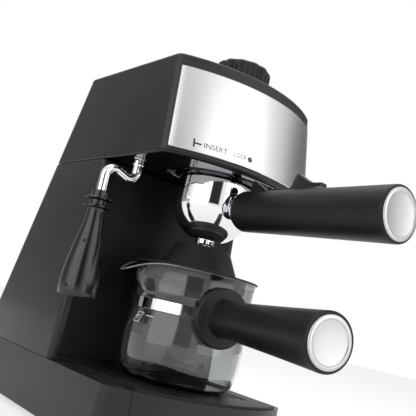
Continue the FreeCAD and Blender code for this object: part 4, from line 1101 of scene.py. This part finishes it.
WAND_R = 3.75
CRANK_X, CRANK_Z, LOW_Z, TIP_Z = -89.3, 191.5, 184.5, 95.0
LEAN = math.radians(1.5)
tip_x = CRANK_X + (CRANK_Z - TIP_Z) * math.tan(LEAN)
wand = bent_tube("wand_tube", [(WAND_X, WAND_Y, 213.4), (WAND_X, WAND_Y, LOW_Z),
                               (CRANK_X, WAND_Y, CRANK_Z + 2.6), (tip_x, WAND_Y, TIP_Z)],
                 7.0, WAND_R, chrome, "wand")
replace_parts(wand, "steam_wand")
joint_ring = [(3.7, 199.0), (4.3, 199.2), (4.45, 199.8), (4.45, 200.6), (4.3, 201.2),
              (3.7, 201.4)]
turned("wand_joint_ring", joint_ring, chrome, "wand", 48,
       Matrix.Translation((WAND_X, WAND_Y, 0)))
nut = [(4.05, 204.6), (4.8, 204.6), (5.0, 204.8), (5.0, 205.5), (5.0, 213), (4.05, 213)]
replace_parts(turned("wand_gland_nut", nut, chrome, "machine", 48,
                   Matrix.Translation((WAND_X, WAND_Y, 0))), "wand_nut")
print("wand made")

# %% [markdown]
# The frothing sleeve.
# A glossy black sleeve slides on the wand and draws in air while milk is frothed. It starts with a
# clip of two thin collars and widens like a long bell. Its skirt is scalloped at the mould's
# parting line, and three small air holes go through it. They are shallow dimples here, with a rim,
# and their near black colour is painted shade for the inside of each hole.

# %% Frothing sleeve
sleeve_place = (Matrix.Translation((CRANK_X, WAND_Y, CRANK_Z)) @ Matrix.Rotation(-LEAN, 4, "Y"))
BELL_LINE = [(6.0, -19.4), (6.3, -20.2), (6.3, -24.2), (9.9, -24.7), (10.5, -25.2),
             (10.5, -26.0), (9.9, -26.5), (6.3, -27.0), (6.3, -30.4), (9.9, -30.8),
             (10.5, -31.2), (10.5, -32.1), (9.9, -32.5), (6.8, -33.2), (6.5, -36),
             (6.9, -41), (7.9, -47), (9.2, -53.5), (10.6, -60), (11.9, -67), (13.0, -74),
             (13.9, -81), (14.4, -88), (14.5, -94), (14.3, -96.6), (13.9, -97.4), (13.0, -97.4),
             (12.7, -95.0), (7.0, -70), (4.15, -63), (4.15, -19.4)]
sleeve = turned("frothing_bell", BELL_LINE, sleeve_plastic, "sleeve", 96,
                sleeve_place, crease=40)
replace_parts(sleeve, "frothing_sleeve")


def bell_radius(height):
    """Outer radius of the sleeve at a height below the crank."""
    outer = BELL_LINE[14:26]
    for (r0, h0), (r1, h1) in zip(outer, outer[1:]):
        if h1 <= height <= h0:
            return r0 + (r1 - r0) * (h0 - height) / (h0 - h1)
    return outer[-1][0]


def on_bell(turn, height, proud):
    """Place on the sleeve's skin by direction in degrees and height."""
    at = math.radians(turn)
    reach = bell_radius(height) + proud
    return tuple(sleeve_place @ Vector((reach * math.cos(at), reach * math.sin(at), height)))


def air_hole(name, turn, height):
    """Round dimple with a thin raised lip, coloured near black as painted shade for a hole."""
    rings = []
    for radius, proud in ((0.05, 0.03), (0.85, 0.03), (0.95, 0.12), (1.25, 0.12), (1.4, -0.1)):
        ring = []
        for k in range(16):
            t = 2 * math.pi * k / 16
            girth = bell_radius(height)
            ring.append(on_bell(turn + math.degrees(radius * math.cos(t) / girth),
                                height + radius * math.sin(t), proud))
        rings.append(ring)
    # near black dimple: painted shade of a hole
    skin(name, rings, dark_plastic_and_hole_shade, "sleeve")


air_hole("air_hole_upper", 222, -58)
air_hole("air_hole_lower", 206, -91)
air_hole("air_hole_rear", 40, -74)
seam = []
for k in range(41):
    part = k / 40
    turn = 212 + 70 * part
    height = -75.5 - 20 * part ** 1.6 + 2.6 * math.sin(math.pi * min(part * 2.2, 1.0))
    seam.append([on_bell(turn, height + 0.22, -0.15), on_bell(turn, height, 0.14),
                 on_bell(turn, height - 0.22, -0.15)])
skin("sleeve_parting_line", seam, sleeve_plastic, "sleeve",
     caps=(True, True))
print("sleeve made")

# %% [markdown]
# The steam knob and the filler cap.
# The steam knob on the side has fine flutes and a grip bar across its face; the filler cap on top is
# a larger knob with twelve deep flutes. Both are skins over rings whose radius waves with the
# angle, which is how a fluted knob looks from its end.

# %% Knob and cap
def fluted(name, levels, count, depth, sharp, place, finish, body):
    """Knob whose girth waves; levels are (radius, height, share of the depth)."""
    steps = count * 12
    rings = []
    for radius, height, share in levels:
        ring = []
        for k in range(steps):
            t = 2 * math.pi * k / steps
            wave = (0.5 + 0.5 * math.cos(count * t)) ** sharp
            reach = radius - depth * share * wave
            ring.append(tuple(place @ Vector((reach * math.cos(t), reach * math.sin(t),
                                              height))))
        rings.append(ring)
    return skin(name, rings, finish, body, crease=40, caps=(True, True))


KNOB_Y, KNOB_Z = 36.0, 250.0
side_x = half_at(KNOB_Z) + 1.5
to_side = Matrix(((0, 0, 1, side_x), (1, 0, 0, KNOB_Y), (0, 1, 0, KNOB_Z), (0, 0, 0, 1)))
knob = fluted("steam_knob_skirt", [(18.4, 0.0, 0), (19.0, 0.8, 0.2), (19.0, 3, 1),
                                   (18.6, 17.5, 1), (17.9, 19.3, 0.6), (16.6, 20.0, 0)],
              24, 0.9, 1.0, to_side, grip_plastic, "knob")
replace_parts(knob, "control_knob")
bar_rings = []
for height, wide, long in ((19.8, 4.0, 17.6), (22.2, 3.8, 17.2), (22.8, 3.3, 16.7),
                           (23.0, 2.6, 16.0)):
    outline = []
    for x, y, start in ((wide, long, 0), (-wide, long, 90), (-wide, -long, 180),
                        (wide, -long, 270)):
        r = min(wide, 2.4)
        cx, cy = x - math.copysign(r, x), y - math.copysign(r, y)
        outline += corner(cx, cy, r, start, start + 90, 5)
    bar_rings.append([tuple(to_side @ Vector((x, y, height))) for x, y in outline])
skin("steam_knob_bar", bar_rings, grip_plastic, "knob", caps=(True, True))
CAP_LEVELS = [(21.0, 282.2, 0), (21.6, 283.4, 0.5), (23.0, 290.0, 1), (23.0, 300.2, 1),
              (22.3, 302.6, 0.85), (20.8, 304.2, 0.5), (18.4, 305.0, 0.1), (9.0, 305.0, 0),
              (8.2, 304.5, 0), (7.0, 304.4, 0)]
cap = fluted("filler_cap", CAP_LEVELS, 12, 2.6, 1.6, Matrix.Identity(4), grip_plastic, "cap")
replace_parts(cap, "boiler_cap")
print("knob and filler cap made")

# %% [markdown]
# Soft edges on the measured pieces.
# The base, tray and grid are shown with their measured shape. Real mouldings have no knife edges, so
# a small bevel is laid over each: it is a modifier, which leaves the measured points alone.

# %% Soft edges
for name, width in (("base_shell", 1.0), ("drip_tray", 0.6), ("drip_grid", 0.45),
                    ("rubber_feet", 0.5), ("cord_gland", 0.5), ("housing_screws", 0.3)):
    edge = nodes[name].modifiers.new("soft_edges", "BEVEL")
    edge.width = width / 1000
    edge.segments = 3
    edge.limit_method = "ANGLE"
    edge.angle_limit = math.radians(40)
print("edges softened")
